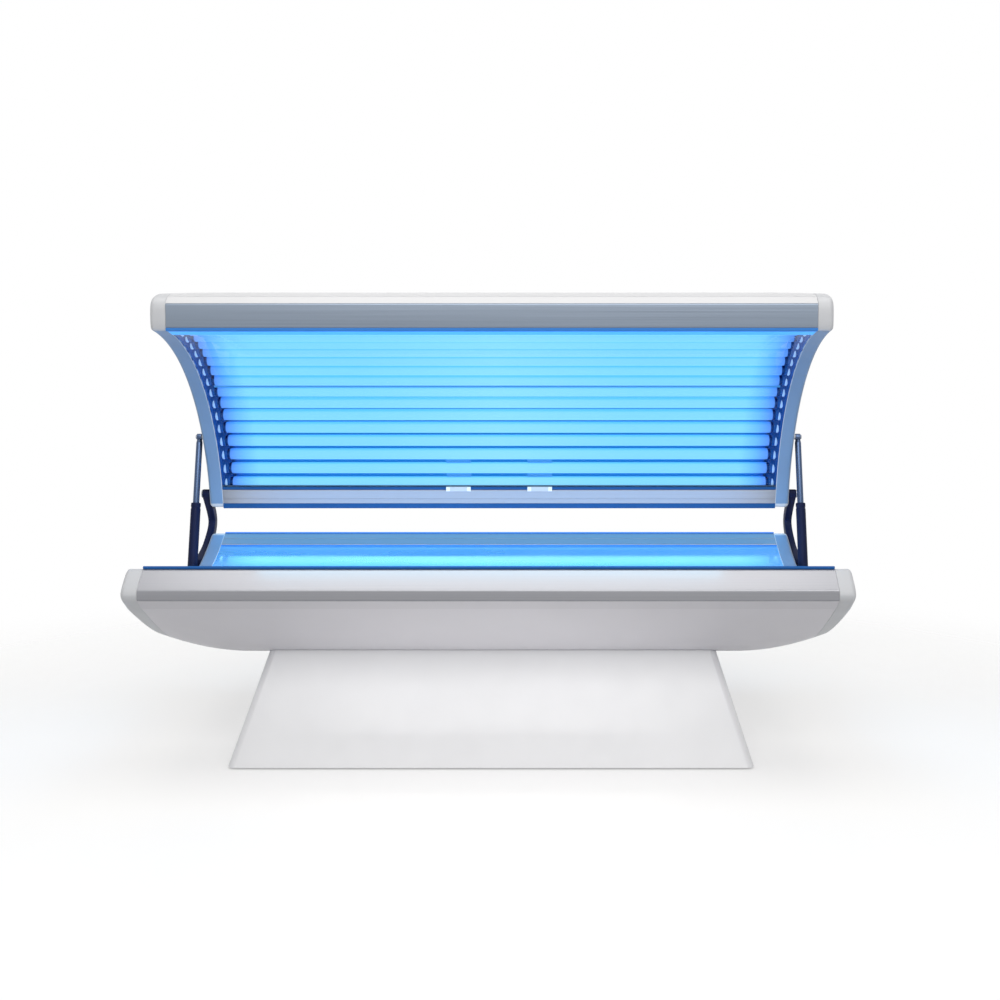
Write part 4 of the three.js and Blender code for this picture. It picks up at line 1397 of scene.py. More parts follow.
@dataclass
class LampBank:
    """The lamps of one half, with their caps and holders, and what stands between them."""

    shell: HalfShell
    count: int
    pitch: float
    lamp_half: float = 0.925
    lamp_cap: float = 0.008
    neck_runs: Pair = (0.012, 0.002)
    neck_share: float = 0.92
    neck_edge: float = 0.003
    cap_radius: float = 0.0182
    cap_lap: float = 0.0015
    cap_shares: Pair = (0.9, 0.5)
    cap_edge: float = 0.0012
    holder_radius: float = 0.0186
    holder_edge: float = 0.005
    boss_half: Triple = (0.0085, 0.0182, 0.0216)
    boss_inset: float = 0.0095
    boss_open: float = 0.08
    liner_thickness: float = 0.0005
    divider_half: float = 0.0058
    spaced_gaps: int = 2
    tube_sides: int = 32
    cap_sides: int = 24
    arch_steps: int = 20
    edge_steps: int = 6
    boss_steps: int = 13
    liner_steps: int = 64

    def build(self) -> None:
        """Makes the spacers and the end sheets of painted glow that the canopy alone has, the lamps and their
        holders.
        """
        if self.shell.half is Half.CANOPY:
            self.spacers()
            self.painted_glow_liners()
        self.tubes()
        self.holders()

    def painted_glow_liners(self) -> None:
        """A sheet of painted blue glow and shade on the inside of each end panel, from the acrylic's back to
        the reflector.
        """
        s = SECTION
        turn = np.linspace(-s.web_angle, s.web_angle, self.liner_steps)
        arcs = s.polar(s.reflector_face - FIT, turn[::-1]), s.polar(s.acrylic_back + FIT, turn)
        stations = self.shell.inner_x - FIT - np.array([self.liner_thickness, 0.0])
        both = (-stations[::-1], stations)
        sheets = [Surface.lofted(carried(np.concatenate(arcs), ends)) for ends in both]
        self.shell.add("end_liners", joined(sheets), HOLDER_BODY_PAINTED_GLOW)

    def spacers(self) -> None:
        """A strip along the middle of the arc, and short spacers between the lamps above the clips, all with
        a painted blue glow.
        """
        s = SECTION
        foot, top = s.reflector_face, s.lamp_arc - s.lamp_radius / 3
        turn = self.divider_half / s.lamp_arc * np.array([-1, 1, 1, -1])

        def block(angle: float, ends: Sequence[float]) -> Surface:
            """A bar that stands on the reflector at an angle, between two ends along X."""
            corners = s.polar(np.array([foot, foot, top, top]), angle + turn)
            return Surface.lofted(carried(rounded_outline(corners, self.divider_half / 2), ends))

        gaps = self.angles[: self.spaced_gaps] + self.pitch / s.lamp_arc / 2
        half = CLIP_WIDTH / 2
        parts = [block(0.0, [-self.lamp_half, self.lamp_half])]
        parts += [block(gap, [x - half, x + half]) for gap in gaps for x in (-CLIP_X, CLIP_X)]
        self.shell.add("lamp_spacers", joined(parts), SPACER_PLASTIC_PAINTED_GLOW)

    @property
    def angles(self) -> Array:
        """Where the lamps lie on their arc."""
        return (np.arange(self.count) - (self.count - 1) / 2) * self.pitch / SECTION.lamp_arc

    def tubes(self) -> None:
        """The lamps: a glass tube with drawn-in ends, and a metal cap on each end, tinted blue as painted
        lamp light.
        """
        s = SECTION
        shoulder, radius = self.lamp_half - self.lamp_cap, s.lamp_radius
        half = [(shoulder - run, radius) for run in self.neck_runs] + [(shoulder, radius * self.neck_share)]
        tube = rounded_profile([(-x, r) for x, r in half[::-1]] + half, self.neck_edge)
        root, face = shoulder - self.cap_lap, self.lamp_half
        cap = rounded_profile([
            (root, radius * self.cap_shares[0]), (root, self.cap_radius),
            (face, self.cap_radius), (face, self.cap_radius * self.cap_shares[1]),
        ], self.cap_edge)
        caps: list[Surface] = []
        _, *centre = self.shell.seat.place(np.array([0.0, 0.0, s.arc_centre]))
        reach = (s.lamp_arc - radius, s.lamp_arc + radius)
        glow = LAMP_GLOW.turned_to(self.shell.half, tuple(centre), reach)
        for i, (y, w) in enumerate(s.polar(s.lamp_arc, self.angles), 1):
            glass = Surface.turned(tube, self.tube_sides).moved(0, y, w)
            self.shell.add(f"lamp_{i:02d}_tube", glass, glow, f"lamp_{i:02d}")
            pair = [Surface.turned(cap * np.array([end, 1.0]), self.cap_sides) for end in SIDES.values()]
            caps += [end.moved(0, y, w) for end in pair]
        self.shell.add("lamp_caps", joined(caps), CAP_METAL_PAINTED_BLUE_LIGHT)

    def holder_block(self) -> tuple[Array, Array]:
        """A lamp holder about its lamp's axis: a block with a round top and a pillowed face.

        Over a quarter turn a the face's round lies at edge (1 - sin a) and is edge (1 - cos a) smaller.

        Returns:
            Sections of shape (stations, count, 2), and their places along X.
        """
        foot = SECTION.reflector_face - SECTION.lamp_arc
        quarter = np.linspace(0, math.pi / 2, self.edge_steps)[::-1]
        face = self.lamp_half + FIT + self.holder_edge * (1 - np.sin(quarter))
        stations = np.append(face, self.shell.inner_x - FIT)
        radii = self.holder_radius - self.holder_edge * np.append(1 - np.cos(quarter), 0.0)
        turn = np.linspace(0, math.pi, self.arch_steps)
        arch = radii[:, None, None] * np.stack([np.cos(turn), np.sin(turn)], -1)
        legs = np.stack([radii[:, None] * np.array([-1.0, 1.0]), np.full((len(radii), 2), -foot)], -1)
        return np.concatenate([arch, legs], 1), stations

    def holders(self) -> None:
        """A holder at each lamp's end, and a pale oval boss on it, both tinted blue with a painted glow.

        The boss is the part of an ellipsoid about the lamp's axis that stands out of the block.
        """
        s = SECTION
        block, stations = self.holder_block()
        wide, deep, tall = self.boss_half
        swing = np.linspace(self.boss_open, math.pi - self.boss_open, self.boss_steps)
        middle = self.shell.inner_x - self.boss_inset
        oval = np.stack([middle + wide * np.cos(swing), tall * np.sin(swing)], -1)
        squeeze = np.array([deep / tall, 1.0])
        for name, side in SIDES.items():
            parts: list[Surface] = []
            bosses: list[Surface] = []
            for angle in self.angles:
                spin, axis = spun(angle), s.polar(s.lamp_arc, angle)
                parts.append(Surface.lofted(stood(block @ spin + axis, side * stations[:, None])))
                boss = Surface.turned(oval * np.array([side, 1.0]), self.cap_sides)
                bosses.append(boss.mapped(lambda p: stood((p[:, 1:] * squeeze) @ spin + axis, p[:, 0])))
            self.shell.add(f"lamp_holders_{name}", joined(parts), HOLDER_BODY_PAINTED_GLOW)
            self.shell.add(f"lamp_holder_bosses_{name}", joined(bosses), SOCKET_PLASTIC_PAINTED_GLOW)


@dataclass
class Pedestal:
    """The tapered skirt between the floor and the bench's belly."""

    hull: Hull
    seat: Seat
    foot: Pair = (0.752, 0.308)
    top: Pair = (0.665, 0.165)
    floor_gap: float = 0.005
    wall: float = 0.004
    corner: float = 0.024
    lap: float = 0.0005
    edge: float = 0.001

    def ring(self, half: Pair, inset: float, steps: int = 14) -> Array:
        """A rectangle with round corners: a quarter of it, mirrored three times.

        Args:
            half: its half-lengths along X and Y.
            inset: how far it lies inside them.
            steps: points on each straight and each corner of the quarter.

        Returns:
            Points of shape (count, 2).
        """
        x, y = half[0] - inset, half[1] - inset
        radius = self.corner - inset
        turn = np.linspace(0, math.pi / 2, steps)
        end_wall = np.stack([np.full(steps, x), np.linspace(0, y - radius, steps)], -1)
        round_off = np.stack([x - radius + radius * np.cos(turn), y - radius + radius * np.sin(turn)], -1)
        long_wall = np.stack([np.linspace(x - radius, 0, steps), np.full(steps, y)], -1)
        quarter = np.concatenate([end_wall[:-1], round_off, long_wall[1:]])
        turned = [quarter, across(quarter)[::-1], -quarter, (quarter * np.array([1.0, -1.0]))[::-1]]
        return np.concatenate([part[:-1] for part in turned])

    def build(self) -> None:
        """Lofts the skirt: up its outer wall, over the top that fits the belly, and down its inner wall."""
        rings: list[Array] = []
        for inset, on_top, trim in (
            (self.edge, False, 0.0), (0.0, False, self.edge), (0.0, True, self.edge), (self.edge, True, 0.0),
            (self.wall, True, 0.0), (self.wall, False, 0.0),
        ):
            flat = self.ring(self.top if on_top else self.foot, inset)
            belly = self.seat.lip_height + self.hull.height(flat[:, 0], flat[:, 1]) - self.lap - trim
            z = belly if on_top else np.full(len(flat), self.floor_gap + trim)
            rings.append(np.column_stack([flat[:, 0], flat[:, 1] + self.seat.shift, z]))
        skirt = Surface.lofted(np.array(rings), returns=True)
        place_piece("pedestal_skirt_panel", skirt, "bench", WHITE_PANEL, ["pedestal_skirt"])


@dataclass
class HingeArms:
    """Two flat steel bars that bow to the rear, bolted to the bench's ends, each with a pin at its top."""

    seat: Seat
    knots: tuple[Pair, ...] = ((0.322, 0.501), (0.425, 0.548), (0.492, 0.627), (0.415, 0.728))
    half_width: float = 0.015
    edge: float = 0.0016
    edge_steps: int = 4
    eye: float = 0.0083
    slit: float = math.radians(0.2)
    bolt_points: tuple[int, int] = (6, 40)
    bolt_radius: float = 0.009
    bolt_shares: Triple = (1.25, 0.95, 0.8)
    bolt_rises: Triple = (0.0012, 0.0042, 0.0056)
    bolt_edge: float = 0.0006
    shank_radius: float = 0.008
    head_radius: float = 0.014
    head_share: float = 0.6
    head_rises: Pair = (0.005, 0.002)
    head_edge: float = 0.0009
    line_steps: int = 64
    end_steps: int = 25
    eye_steps: int = 40
    bolt_sides: int = 24
    pin_sides: int = 32

    def line(self) -> tuple[Array, Array]:
        """The bar's middle line: a smooth curve through the knots, a cubic in t on each span.

        Its slope at each knot is half the step between the knot's two neighbours.

        Returns:
            Points of (y, z) in the row frame, and the unit normals to their left.
        """
        knots = np.array(self.knots) + np.array([self.seat.shift, 0.0])
        padded = np.concatenate([knots[:1], knots, knots[-1:]])
        t = np.linspace(0, 1, self.line_steps, endpoint=False)[:, None]
        spans: list[Array] = []
        for a, b, c, d in zip(padded[:-3], padded[1:-2], padded[2:-1], padded[3:]):
            square, cube = 2*a - 5*b + 4*c - d, 3*b - a - 3*c + d
            spans.append(0.5 * (2 * b + (c - a) * t + square * t**2 + cube * t**3))
        points = np.concatenate([*spans, knots[-1:]])
        along = np.gradient(points, axis=0)
        along = along / np.linalg.norm(along, axis=1, keepdims=True)
        return points, np.stack([-along[:, 1], along[:, 0]], -1)

    def outline(self, inset: float) -> Array:
        """The bar's outline with round ends, and a slit at its top that opens into the pin's eye.

        Args:
            inset: how far the outline moves in.

        Returns:
            Points of (y, z), of shape (count, 2).
        """
        points, normal = self.line()
        reach = self.half_width - inset
        turn = np.linspace(0, math.pi, self.end_steps)[1:-1, None]

        def swept(centre: Array, side: Array, size: float, angles: Array) -> Array:
            """Points about a centre: size times (cos a along side, sin a along side turned to the right)."""
            ahead = np.array([side[1], -side[0]])
            return centre + size * (np.cos(angles) * side + np.sin(angles) * ahead)

        top = swept(points[-1], normal[-1], reach, turn)
        round_eye = np.linspace(math.pi / 2 - self.slit, self.slit - 1.5 * math.pi, self.eye_steps)
        eye = swept(points[-1], normal[-1], self.eye + inset, round_eye[:, None])
        foot = swept(points[0], -normal[0], reach, turn)
        half = len(top) // 2
        sides = points + reach * normal, (points - reach * normal)[::-1]
        return np.concatenate([sides[0], top[:half], eye, top[half + 1:], sides[1], foot])

    def build(self) -> None:
        """Makes each bar with rounded edges, its two foot bolts and its hinge pin."""
        turn = np.linspace(0, math.pi / 2, self.edge_steps)
        insets = self.edge * (1 - np.sin(turn))
        outlines = np.stack([self.outline(inset) for inset in (*insets, *insets[::-1])])
        for name, side in SIDES.items():
            near, far, *_ = span(f"hinge_arm_{name}", side)
            steps = side * self.edge * (1 - np.cos(turn))
            stations = np.concatenate([near + steps, (far - steps)[::-1]])
            bolts = [self.bolt(far, side, place) for place in self.line()[0][[*self.bolt_points]]]
            bar = joined([Surface.lofted(stood(outlines, stations[:, None])), *bolts])
            place_piece(f"hinge_arm_{name}_bar", bar, "bench", DARK_PAINT, [f"hinge_arm_{name}"])
            self.pin(name, side)

    def bolt(self, face: float, side: int, place: Array) -> Surface:
        """A washer and a domed head on the bar's outer face, turned about X.

        Args:
            face: where the bar's outer face lies along X.
            side: which way it faces.
            place: the bolt's y and z.

        Returns:
            The bolt's skin.
        """
        washer, neck, dome = (self.bolt_radius * share for share in self.bolt_shares)
        thickness, shoulder, top = self.bolt_rises
        profile = rounded_profile([
            (0.0, HUB), (0.0, washer), (thickness, washer), (thickness, neck), (shoulder, dome), (top, HUB),
        ], self.bolt_edge)
        way, start = np.array([side, 1.0, 1.0]), np.array([face, *place])
        return Surface.turned(profile, self.bolt_sides).mapped(lambda points: start + points * way)

    def pin(self, name: str, side: int) -> None:
        """The hinge pin: a shank that fills its node's length, and a domed head on the outside.

        Args:
            name: the side's name.
            side: which way its head faces along X.
        """
        near, far, y, z = span(f"hinge_pin_{name}", side)
        root, brow = (far - side * rise for rise in self.head_rises)
        profile = solid_profile([
            (near, self.shank_radius), (root, self.shank_radius), (root, self.head_radius),
            (brow, self.head_radius), (far, self.head_radius * self.head_share),
        ], self.head_edge)
        shaft = Surface.turned(profile, self.pin_sides).moved(0, y, z)
        place_piece(f"hinge_pin_{name}_bolt", shaft, "canopy", ZINC, [f"hinge_pin_{name}"])


@dataclass
class GasStruts:
    """Two gas struts: a painted cylinder on the bench's stud and a chromed rod, tinted blue as a painted
    reflection, on the canopy's stud.
    """

    cylinder_radius: float = 0.016
    cylinder_length: float = 0.281
    cylinder_edge: float = 0.0015
    neck: tuple[Pair, Pair] = ((0.0098, 0.0085), (0.015, 0.0095))
    shoulder: float = 0.019
    crimps: tuple[float, float, float, float] = (0.020, 0.018, 0.014, 0.012)
    crimp_share: float = 0.93
    mouth_edge: float = 0.002
    floor: float = 0.024
    bore: float = 0.0133
    rod_radius: float = 0.0105
    rod_length: float = 0.3713
    rod_edge: float = 0.0009
    rod_taper: Pair = (0.020, 0.0098)
    rod_share: float = 0.8
    eye_radius: float = 0.011
    eye_bore: float = 0.0053
    eye_half: float = 0.008
    eye_edge: float = 0.0012
    cylinder_sides: int = 40
    rod_sides: int = 32

    def barrel(self) -> Array:
        """The cylinder's profile from the foot's eye: neck, shoulder, a crimped groove, mouth and bore.

        Returns:
            Points of (x, radius).
        """
        r, end, crimped = self.cylinder_radius, self.cylinder_length, self.cylinder_radius * self.crimp_share
        groove = [(end - back, size) for back, size in zip(self.crimps, (r, crimped, crimped, r))]
        mouth = [(end - self.mouth_edge, r), (end, crimped), (end, self.bore), (self.floor, self.bore)]
        return solid_profile([*self.neck, (self.shoulder, r), *groove, *mouth], self.cylinder_edge)

    def stem(self) -> Array:
        """The rod's profile, which runs back from the top's eye and tapers towards it.

        Returns:
            Points of (x, radius).
        """
        start, end = self.rod_taper
        corners = [(-self.rod_length, self.rod_radius), (-start, self.rod_radius)]
        return solid_profile([*corners, (-end, self.rod_radius * self.rod_share)], self.rod_edge)

    def build(self) -> None:
        """Makes both struts along the line between their two pivots."""
        bore, rim, half = self.eye_bore, self.eye_radius, self.eye_half
        eye = rounded_outline([(-half, bore), (-half, rim), (half, rim), (half, bore)], self.eye_edge)
        ring = Surface.turned(eye, self.rod_sides, returns=True)
        barrel = Surface.turned(self.barrel(), self.cylinder_sides)
        stem = Surface.turned(self.stem(), self.rod_sides)
        aside = np.array([1.0, 0.0, 0.0])
        for name in SIDES:
            cylinder, rod = f"strut_cylinder_{name}", f"strut_rod_{name}"
            foot, top = (np.array(joint(f"{node}_pivot")["pos_m"]) for node in (cylinder, rod))
            along = (top - foot) / np.linalg.norm(top - foot)
            basis = np.stack([along, np.cross(aside, along), aside])
            body = joined([barrel.mapped(lambda points: foot + points @ basis), ring.moved(*foot)])
            rod_skin = joined([stem.mapped(lambda points: top + points @ basis), ring.moved(*top)])
            place_piece(f"{cylinder}_barrel", body, cylinder, DARK_PAINT, [cylinder])
            place_piece(f"{rod}_stem", rod_skin, rod, CHROME, [rod])


@dataclass
class Clips:
    """Two pale clips on the canopy's rear rail, stepped over the edge of the acrylic, with white pads at
    their ends and a grey middle of painted shade.
    """

    seat: Seat
    reach: float = 0.012
    hold: float = 0.0045
    pad_width: float = 0.013
    pad_height: float = 0.0009
    thickness: float = 0.0025
    edge: float = 0.0006
    steps: tuple[int, int, int] = (5, 4, 9)
    pad_steps: int = 7

    def build(self) -> None:
        """Carries the stepped outline across each clip's width, and lays a pad at each of its ends."""
        s = SECTION
        under, held = s.lip_radius - FIT, s.flange_angle + self.hold / s.lip_radius
        toe = s.flange_angle - self.reach / s.lip_radius
        sheet = s.lip_radius + s.acrylic_set - 3 * FIT
        step = s.flange_angle - FIT / s.lip_radius
        face = under - self.thickness
        arcs = ((under, held, s.flange_angle), (sheet, step, toe), (face, toe, held))
        outline = across(np.concatenate([
            s.polar(radius, np.linspace(start, stop, count))
            for (radius, start, stop), count in zip(arcs, self.steps)
        ]))
        rise = np.linspace(toe + self.edge / face, held - self.edge / face, self.pad_steps)
        pad = across(np.concatenate([s.polar(face + FIT, rise[::-1]), s.polar(face - self.pad_height, rise)]))
        for name, side in SIDES.items():
            node = f"canopy_clip_{name}"
            low, high = side * CLIP_X - CLIP_WIDTH / 2, side * CLIP_X + CLIP_WIDTH / 2
            spans = ([low, low + self.pad_width], [high - self.pad_width, high])
            pads = joined([Surface.lofted(carried(pad, ends)) for ends in spans])
            place_piece(f"{node}_pads", pads.mapped(self.seat.place), "canopy", CLIP_PAD)
            clip = Surface.lofted(carried(outline, [low, high])).mapped(self.seat.place)
            place_piece(f"{node}_moulding", clip, "canopy", CLIP_PLASTIC_PAINTED_SHADE, [node], bevel=self.edge)


@dataclass
class TimerKnob:
    """The timer's knob on the right end: a skirt, a fluted grip and a pointer, over a dial of plain ticks."""

    height: float = 0.017
    edge: float = 0.0009
    radius: float = 0.024
    skirt_rises: Pair = (0.0038, 0.0055)
    grip_radius: float = 0.0178
    grip_share: float = 0.94
    grip_rise: float = 0.005
    grip_edge: float = 0.0014
    flutes: int = 18
    flute_depth: float = 0.035
    shaft_radius: float = 0.004
    shaft_lap: float = 0.001
    pointer_rise: float = 0.0025
    pointer_half: Pair = (0.0016, 0.0011)
    pointer_span: Pair = (0.002, 0.0168)
    pointer_edge: float = 0.0007
    pointer_lap: float = 0.001
    ticks: int = 11
    tick_sweep: float = math.radians(300)
    tick_half: float = 0.0006
    tick_span: Pair = (0.0265, 0.0310)
    dial_gap: float = 0.0005
    skirt_sides: int = 64
    grip_sides: int = 180
    shaft_sides: int = 20

    def build(self) -> None:
        """Turns the knob's parts about X, adds the pointer, and lays the ticks round it."""
        back, front, y, z = span("timer_knob")
        top = front - self.pointer_rise
        seat = top - self.height
        brim, crown = (seat + rise for rise in self.skirt_rises)
        wide, slim = self.grip_radius, self.grip_radius * self.grip_share
        skirt = solid_profile([(seat, self.radius), (brim, self.radius), (crown, wide)], self.edge)
        grip = solid_profile([(seat + self.grip_rise, wide), (top, slim)], self.grip_edge)
        lapped = seat + self.shaft_lap
        shaft = np.array([(back, HUB), (back, self.shaft_radius), (lapped, self.shaft_radius), (lapped, HUB)])
        (heel, nib), (start, tip) = self.pointer_half, self.pointer_span
        pointer = rounded_outline([(-heel, start), (heel, start), (nib, tip), (-nib, tip)], self.pointer_edge)
        knob = joined([
            Surface.turned(skirt, self.skirt_sides),
            Surface.turned(grip, self.grip_sides, flutes=self.flutes, depth=self.flute_depth),
            Surface.turned(shaft, self.shaft_sides),
            Surface.lofted(carried(pointer, [top - self.pointer_lap, front])),
        ])
        place_piece("timer_knob_dial", knob.moved(0, y, z), "timer_knob", BLACK_PLASTIC, ["timer_knob"])
        half, (inner, outer) = self.tick_half, self.tick_span
        mark = np.array([[-half, inner], [half, inner], [half, outer], [-half, outer]])
        face = seat - self.dial_gap
        turns = np.linspace(-self.tick_sweep / 2, self.tick_sweep / 2, self.ticks)
        marks = [Surface.lofted(carried(mark @ spun(turn), [face - FIT, face + FIT])) for turn in turns]
        place_piece("timer_dial_ticks", joined(marks).moved(0, y, z), "bench", BLACK_PLASTIC)


@dataclass
class StartButton:
    """The start button on the right end: a red cap with a dished face, in a black bezel ring."""

    radius: float = 0.011
    flange: float = 0.0024
    dish: float = 0.0009
    dish_shares: Pair = (0.7, 0.3)
    edge: float = 0.0011
    bezel: float = 0.0042
    bezel_gap: float = 0.0004
    bezel_height: float = 0.0016
    bezel_edge: float = 0.0006
    sides: int = 48

    def build(self) -> None:
        """Turns the cap and the ring about X."""
        back, front, y, z = span("start_button")
        r, step = self.radius, back + self.flange
        brim, floor = (r * share for share in self.dish_shares)
        cap = solid_profile([
            (back, r + self.flange), (step, r + self.flange), (step, r), (front, r), (front, brim),
            (front - self.dish, floor),
        ], self.edge)
        red = Surface.turned(cap, self.sides).moved(0, y, z)
        place_piece("start_button_cap", red, "start_button", RED_PLASTIC, ["start_button"])
        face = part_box("hinge_arm_right")[0].x - FIT
        low, high, hole, rim = face - FIT, face + self.bezel_height, r + self.bezel_gap, r + self.bezel
        ring = rounded_outline([(low, hole), (low, rim), (high, rim), (high, hole)], self.bezel_edge)
        bezel = Surface.turned(ring, self.sides, returns=True).moved(0, y, z)
        place_piece("start_button_bezel", bezel, "bench", BLACK_PLASTIC)


@dataclass
class InletGland:
    """The mains inlet's gland on the left end: a flange, a hexagon and a ribbed dome with an open mouth."""

    radius: float = 0.017
    flange: float = 0.003
    edge: float = 0.0008
    hexagon_share: float = 0.92
    hexagon_span: Pair = (0.0025, 0.009)
    dome_root: Pair = (0.0085, 0.0118)
    dome_brow: Pair = (0.006, 0.0112)
    mouth_radii: Triple = (0.0095, 0.006, 0.0058)
    mouth_depth: float = 0.003
    dome_edge: float = 0.0012
    ribs: int = 16
    rib_depth: float = 0.02
    flange_sides: int = 48
    hexagon_sides: int = 6
    dome_sides: int = 96

    def build(self) -> None:
        """Turns the three parts about X, outwards from the end panel."""
        root, mouth, y, z = span("power_inlet", -1)
        flange = solid_profile([(root, self.radius), (root - self.flange, self.radius)], self.edge)
        flats = self.radius * self.hexagon_share
        hexagon = solid_profile([(root - away, flats) for away in self.hexagon_span], self.edge)
        lip, hole, floor = self.mouth_radii
        (start, wide), (brow, slim) = self.dome_root, self.dome_brow
        dome = solid_profile([
            (root - start, wide), (mouth + brow, slim), (mouth, lip), (mouth, hole),
            (mouth + self.mouth_depth, floor),
        ], self.dome_edge)
        gland = joined([
            Surface.turned(flange, self.flange_sides), Surface.turned(hexagon, self.hexagon_sides),
            Surface.turned(dome, self.dome_sides, flutes=self.ribs, depth=self.rib_depth),
        ])
        place_piece("power_inlet_gland", gland.moved(0, y, z), "bench", BLACK_PLASTIC, ["power_inlet"])


@dataclass
class Innards:
    """What the pedestal hides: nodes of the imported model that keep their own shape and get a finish."""

    finishes: tuple[tuple[str, Finish], ...] = (
        ("base_frame", PRIMER), ("ballast_tray", ZINC), ("fan_frame", BLACK_PLASTIC),
        ("fan_impeller", BLACK_PLASTIC), ("foot_", RUBBER),
    )

    def dress(self) -> None:
        """Gives each hidden node the finish that its name calls for."""
        for name, node in frame["nodes"].items():
            for start, finish in self.finishes:
                if name.startswith(start):
                    node.data.materials.clear()
                    node.data.materials.append(finish.material())
                    LOG.info("%s: dressed in %s", name, finish.name)


@dataclass(frozen=True)
class Softbox:
    """A rectangular lamp that the camera doesn't see; its power is four times its radiance times its area."""

    name: str
    place: Triple
    tilt: float
    size: Pair
    radiance: float
    colour: Colour
    mirrored: bool = True
    card: bool = False

    def hang(self) -> None:
        """Adds the lamp, tilted about X from facing down; a card lights bright surfaces alone."""
        light = bpy.data.lights.new(self.name, "AREA")
        light.shape, light.size, light.size_y = "RECTANGLE", *self.size
        light.energy = 4 * self.radiance * self.size[0] * self.size[1]
        light.color = self.colour
        made = bpy.data.objects.new(self.name, light)
        made.location, made.rotation_euler = self.place, (math.radians(self.tilt), 0.0, 0.0)
        made.visible_camera, made.visible_transmission, made.visible_glossy = False, False, self.mirrored
        made.visible_diffuse = not self.card
        bpy.context.scene.collection.objects.link(made)


WARM_WHITE = (1.0, 0.982, 0.955)
SOFTBOXES = (
    Softbox("overhead", (0.0, -0.8, 3.4), 0, (3.6, 2.2), 1.1, WARM_WHITE),
    Softbox("reflection_card", (0.0, -0.6, 2.5), 0, (3.2, 1.5), 1.1, (1.0, 0.96, 0.92), card=True),
    Softbox("front_fill", (0.5, -5.0, 3.6), 60, (5.5, 2.6), 3.0, WARM_WHITE),
    Softbox("bounce", (0.0, -0.44, 0.03), 200, (1.0, 0.2), 1.3, WARM_WHITE, mirrored=False),
    Softbox("rear_fill", (-0.5, 4.6, 3.2), -62, (5.0, 2.4), 1.6, WARM_WHITE, mirrored=False),
    Softbox("canopy_spill", (0.0, 0.02, 0.79), 5, (1.8, 0.3), 2.4, (0.22, 0.62, 1.0), mirrored=False),
    Softbox("bench_spill", (0.0, 0.02, 0.57), 165, (1.98, 0.5), 1.3, (0.8, 0.9, 1.0)),
    Softbox("rear_glow", (0.0, 0.415, 0.672), 0, (1.98, 0.09), 1.7, (0.08, 0.5, 1.0)),
    Softbox("front_glow", (0.0, -0.458, 0.67), 0, (1.3, 0.03), 1.2, (0.05, 0.65, 1.0)),
)


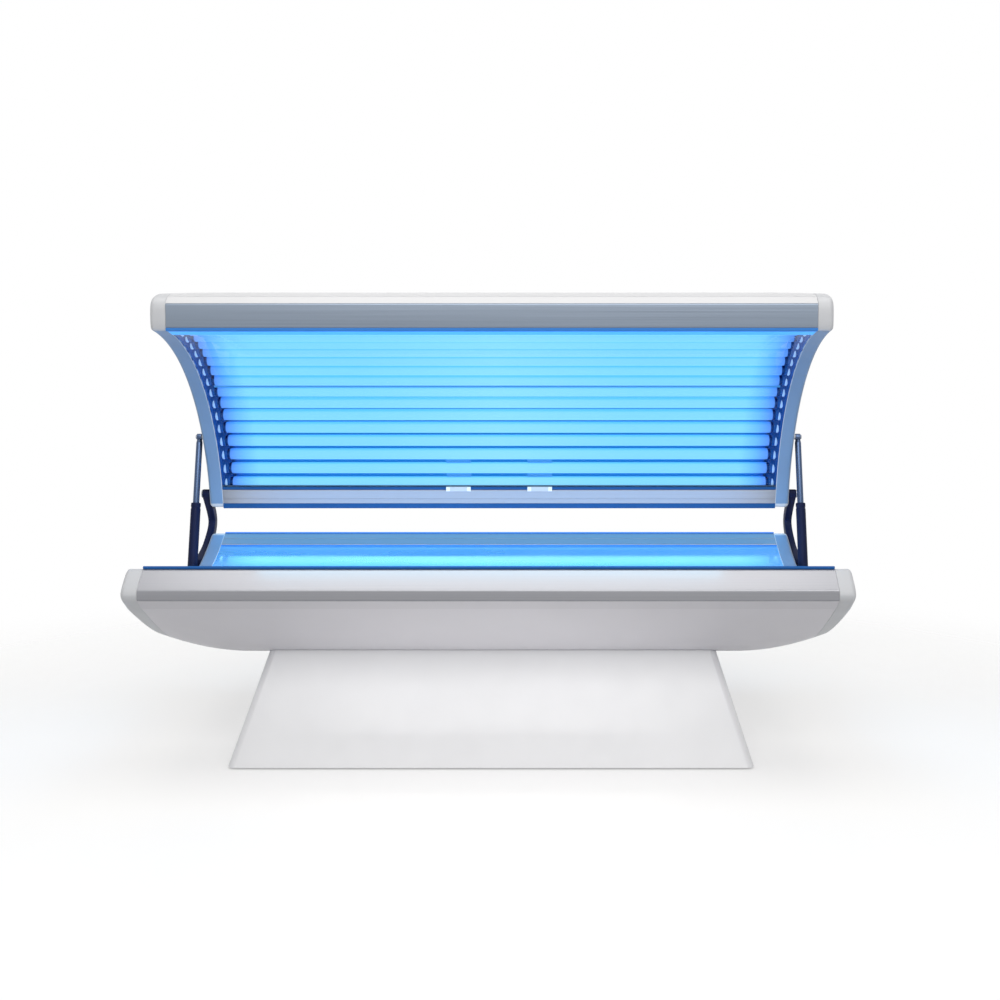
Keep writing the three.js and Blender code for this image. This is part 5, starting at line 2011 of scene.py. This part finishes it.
@dataclass
class Studio:
    """A pale floor that fades into a white surround, soft lamps, and the camera at the photo's angle."""

    eye: Triple = (0.140, -3.7351, 1.061)
    sensor: float = 36.0
    focal_length: float = 43.2
    shift: Pair = (-0.04, -0.103)
    floor_half: float = 5.0
    floor_steps: int = 41
    floor_tone: Colour = (0.62, 0.62, 0.62)
    floor_lift: Colour = (0.4, 0.4, 0.4)
    floor_roughness: float = 0.9
    floor_specular: float = 0.1
    fade: Pair = (1.5, 3.2)
    surround: float = 0.42

    def build(self) -> None:
        """Sets up the floor, the surround, the lamps and the camera."""
        self.floor()
        self.world()
        for lamp in SOFTBOXES:
            lamp.hang()
        self.camera()
        bpy.context.scene.view_settings.view_transform = "Standard"

    def floor_shade(self) -> bpy.types.Material:
        """Makes the floor's material, which fades out for the camera with the distance from the middle.

        Returns:
            The material.
        """
        shade = Shade("studio_floor")
        rays = shade.node("ShaderNodeLightPath").outputs
        seen = shade.worked("MAXIMUM", rays["Is Camera Ray"], rays["Is Glossy Ray"])
        shade.feed("Emission Color", shade.ramp(seen, [(0.0, (0.0, 0.0, 0.0)), (1.0, self.floor_lift)]))
        shade.paint(Base_Color=(*self.floor_tone, 1.0), Emission_Strength=1.0)
        shade.paint(Roughness=self.floor_roughness, Specular_IOR_Level=self.floor_specular)
        fade = shade.ranged(shade.length(shade.place()), self.fade, curve="SMOOTHSTEP")
        clear = shade.node("ShaderNodeBsdfTransparent").outputs["BSDF"]
        share = shade.worked("MULTIPLY", fade, rays["Is Camera Ray"])
        shade.show("Material Output", share, shade.skin.outputs["BSDF"], clear)
        return shade.material

    def floor(self) -> None:
        """A flat square grid."""
        steps = self.floor_steps
        axis = np.linspace(-self.floor_half, self.floor_half, steps)
        x, y = np.meshgrid(axis, axis, indexing="ij")
        points = np.stack([x, y, np.zeros_like(x)], -1).reshape(-1, 3)
        grid = np.arange(steps * steps).reshape(steps, steps)
        corners = np.stack([grid[:-1, :-1], grid[1:, :-1], grid[1:, 1:], grid[:-1, 1:]], -1).reshape(-1, 4)
        mesh = bpy.data.meshes.new("studio_floor")
        mesh.from_pydata(points.tolist(), [], corners.tolist())
        mesh.materials.append(self.floor_shade())
        made = bpy.data.objects.new("studio_floor", mesh)
        bpy.context.scene.collection.objects.link(made)

    def world(self) -> None:
        """White where the camera, the acrylic or a mirror shows it, and a softer level as light."""
        world = bpy.data.worlds.new("surround")
        bpy.context.scene.world = world
        world.use_nodes = True
        nodes = Nodes(world.node_tree)
        rays = nodes.node("ShaderNodeLightPath").outputs
        white = (1.0, 1.0, 1.0, 1.0)
        lit, shown = nodes.tree.nodes["Background"], nodes.node("ShaderNodeBackground", Color=white)
        lit.inputs["Color"].default_value = white
        lit.inputs["Strength"].default_value = self.surround
        straight = nodes.worked("MAXIMUM", rays["Is Camera Ray"], rays["Is Transmission Ray"])
        seen = nodes.worked("MAXIMUM", straight, rays["Is Glossy Ray"])
        nodes.show("World Output", seen, lit.outputs["Background"], shown.outputs["Background"])

    def camera(self) -> None:
        """A level camera square to the bed's front, shifted to frame it as the photo does."""
        lens = bpy.data.cameras.new("photo_angle")
        lens.sensor_width, lens.lens = self.sensor, self.focal_length
        lens.shift_x, lens.shift_y = self.shift
        made = bpy.data.objects.new("photo_angle", lens)
        made.location, made.rotation_euler = self.eye, (math.pi / 2, 0.0, 0.0)
        bpy.context.scene.collection.objects.link(made)
        bpy.context.scene.camera = made


def main() -> None:
    """Builds both halves and what carries and joins them, and dresses and lights them."""
    logging.basicConfig(level=logging.INFO, format="%(message)s")
    inner_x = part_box("bench_acrylic")[1].x + FIT
    half_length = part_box("hinge_arm_right")[0].x - FIT
    bench_seat, canopy_seat = Seat(Half.BENCH), Seat(Half.CANOPY)
    belly = Hull(
        depth=bench_seat.lip_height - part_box("bench_belly_pan")[0].z, shoulder=0.190, flat=0.110,
        end_rise=0.056, end_run=0.272, on_band=True, seam=0.0006, half_length=half_length,
    )
    roof = Hull(
        depth=0.235, shoulder=0.425, flat=0.120, end_rise=0.014, end_run=0.200, on_band=False, seam=0.001,
        half_length=half_length,
    )
    bench = HalfShell(
        Half.BENCH, belly, inner_x, half_length, skin_name="belly_pan", stud_place=(0.250, -0.163),
    )
    canopy = HalfShell(
        Half.CANOPY, roof, inner_x, half_length, skin_name="shell", stud_place=(-0.224, -0.145),
        seal_half=0.0055, painted_gasket_runs=(0.016, 0.006), painted_gasket_proud=0.002,
    )
    bench.build()
    LampBank(bench, count=8, pitch=0.104).build()
    canopy.build()
    LampBank(canopy, count=16, pitch=0.0535).build()
    for name, side in SIDES.items():
        bench.stud(name, side)
        canopy.stud(name, side)
    Pedestal(belly, bench_seat).build()
    HingeArms(bench_seat).build()
    GasStruts().build()
    Clips(canopy_seat).build()
    TimerKnob().build()
    StartButton().build()
    InletGland().build()
    Innards().dress()
    Studio().build()


if __name__ == "__main__":
    main()
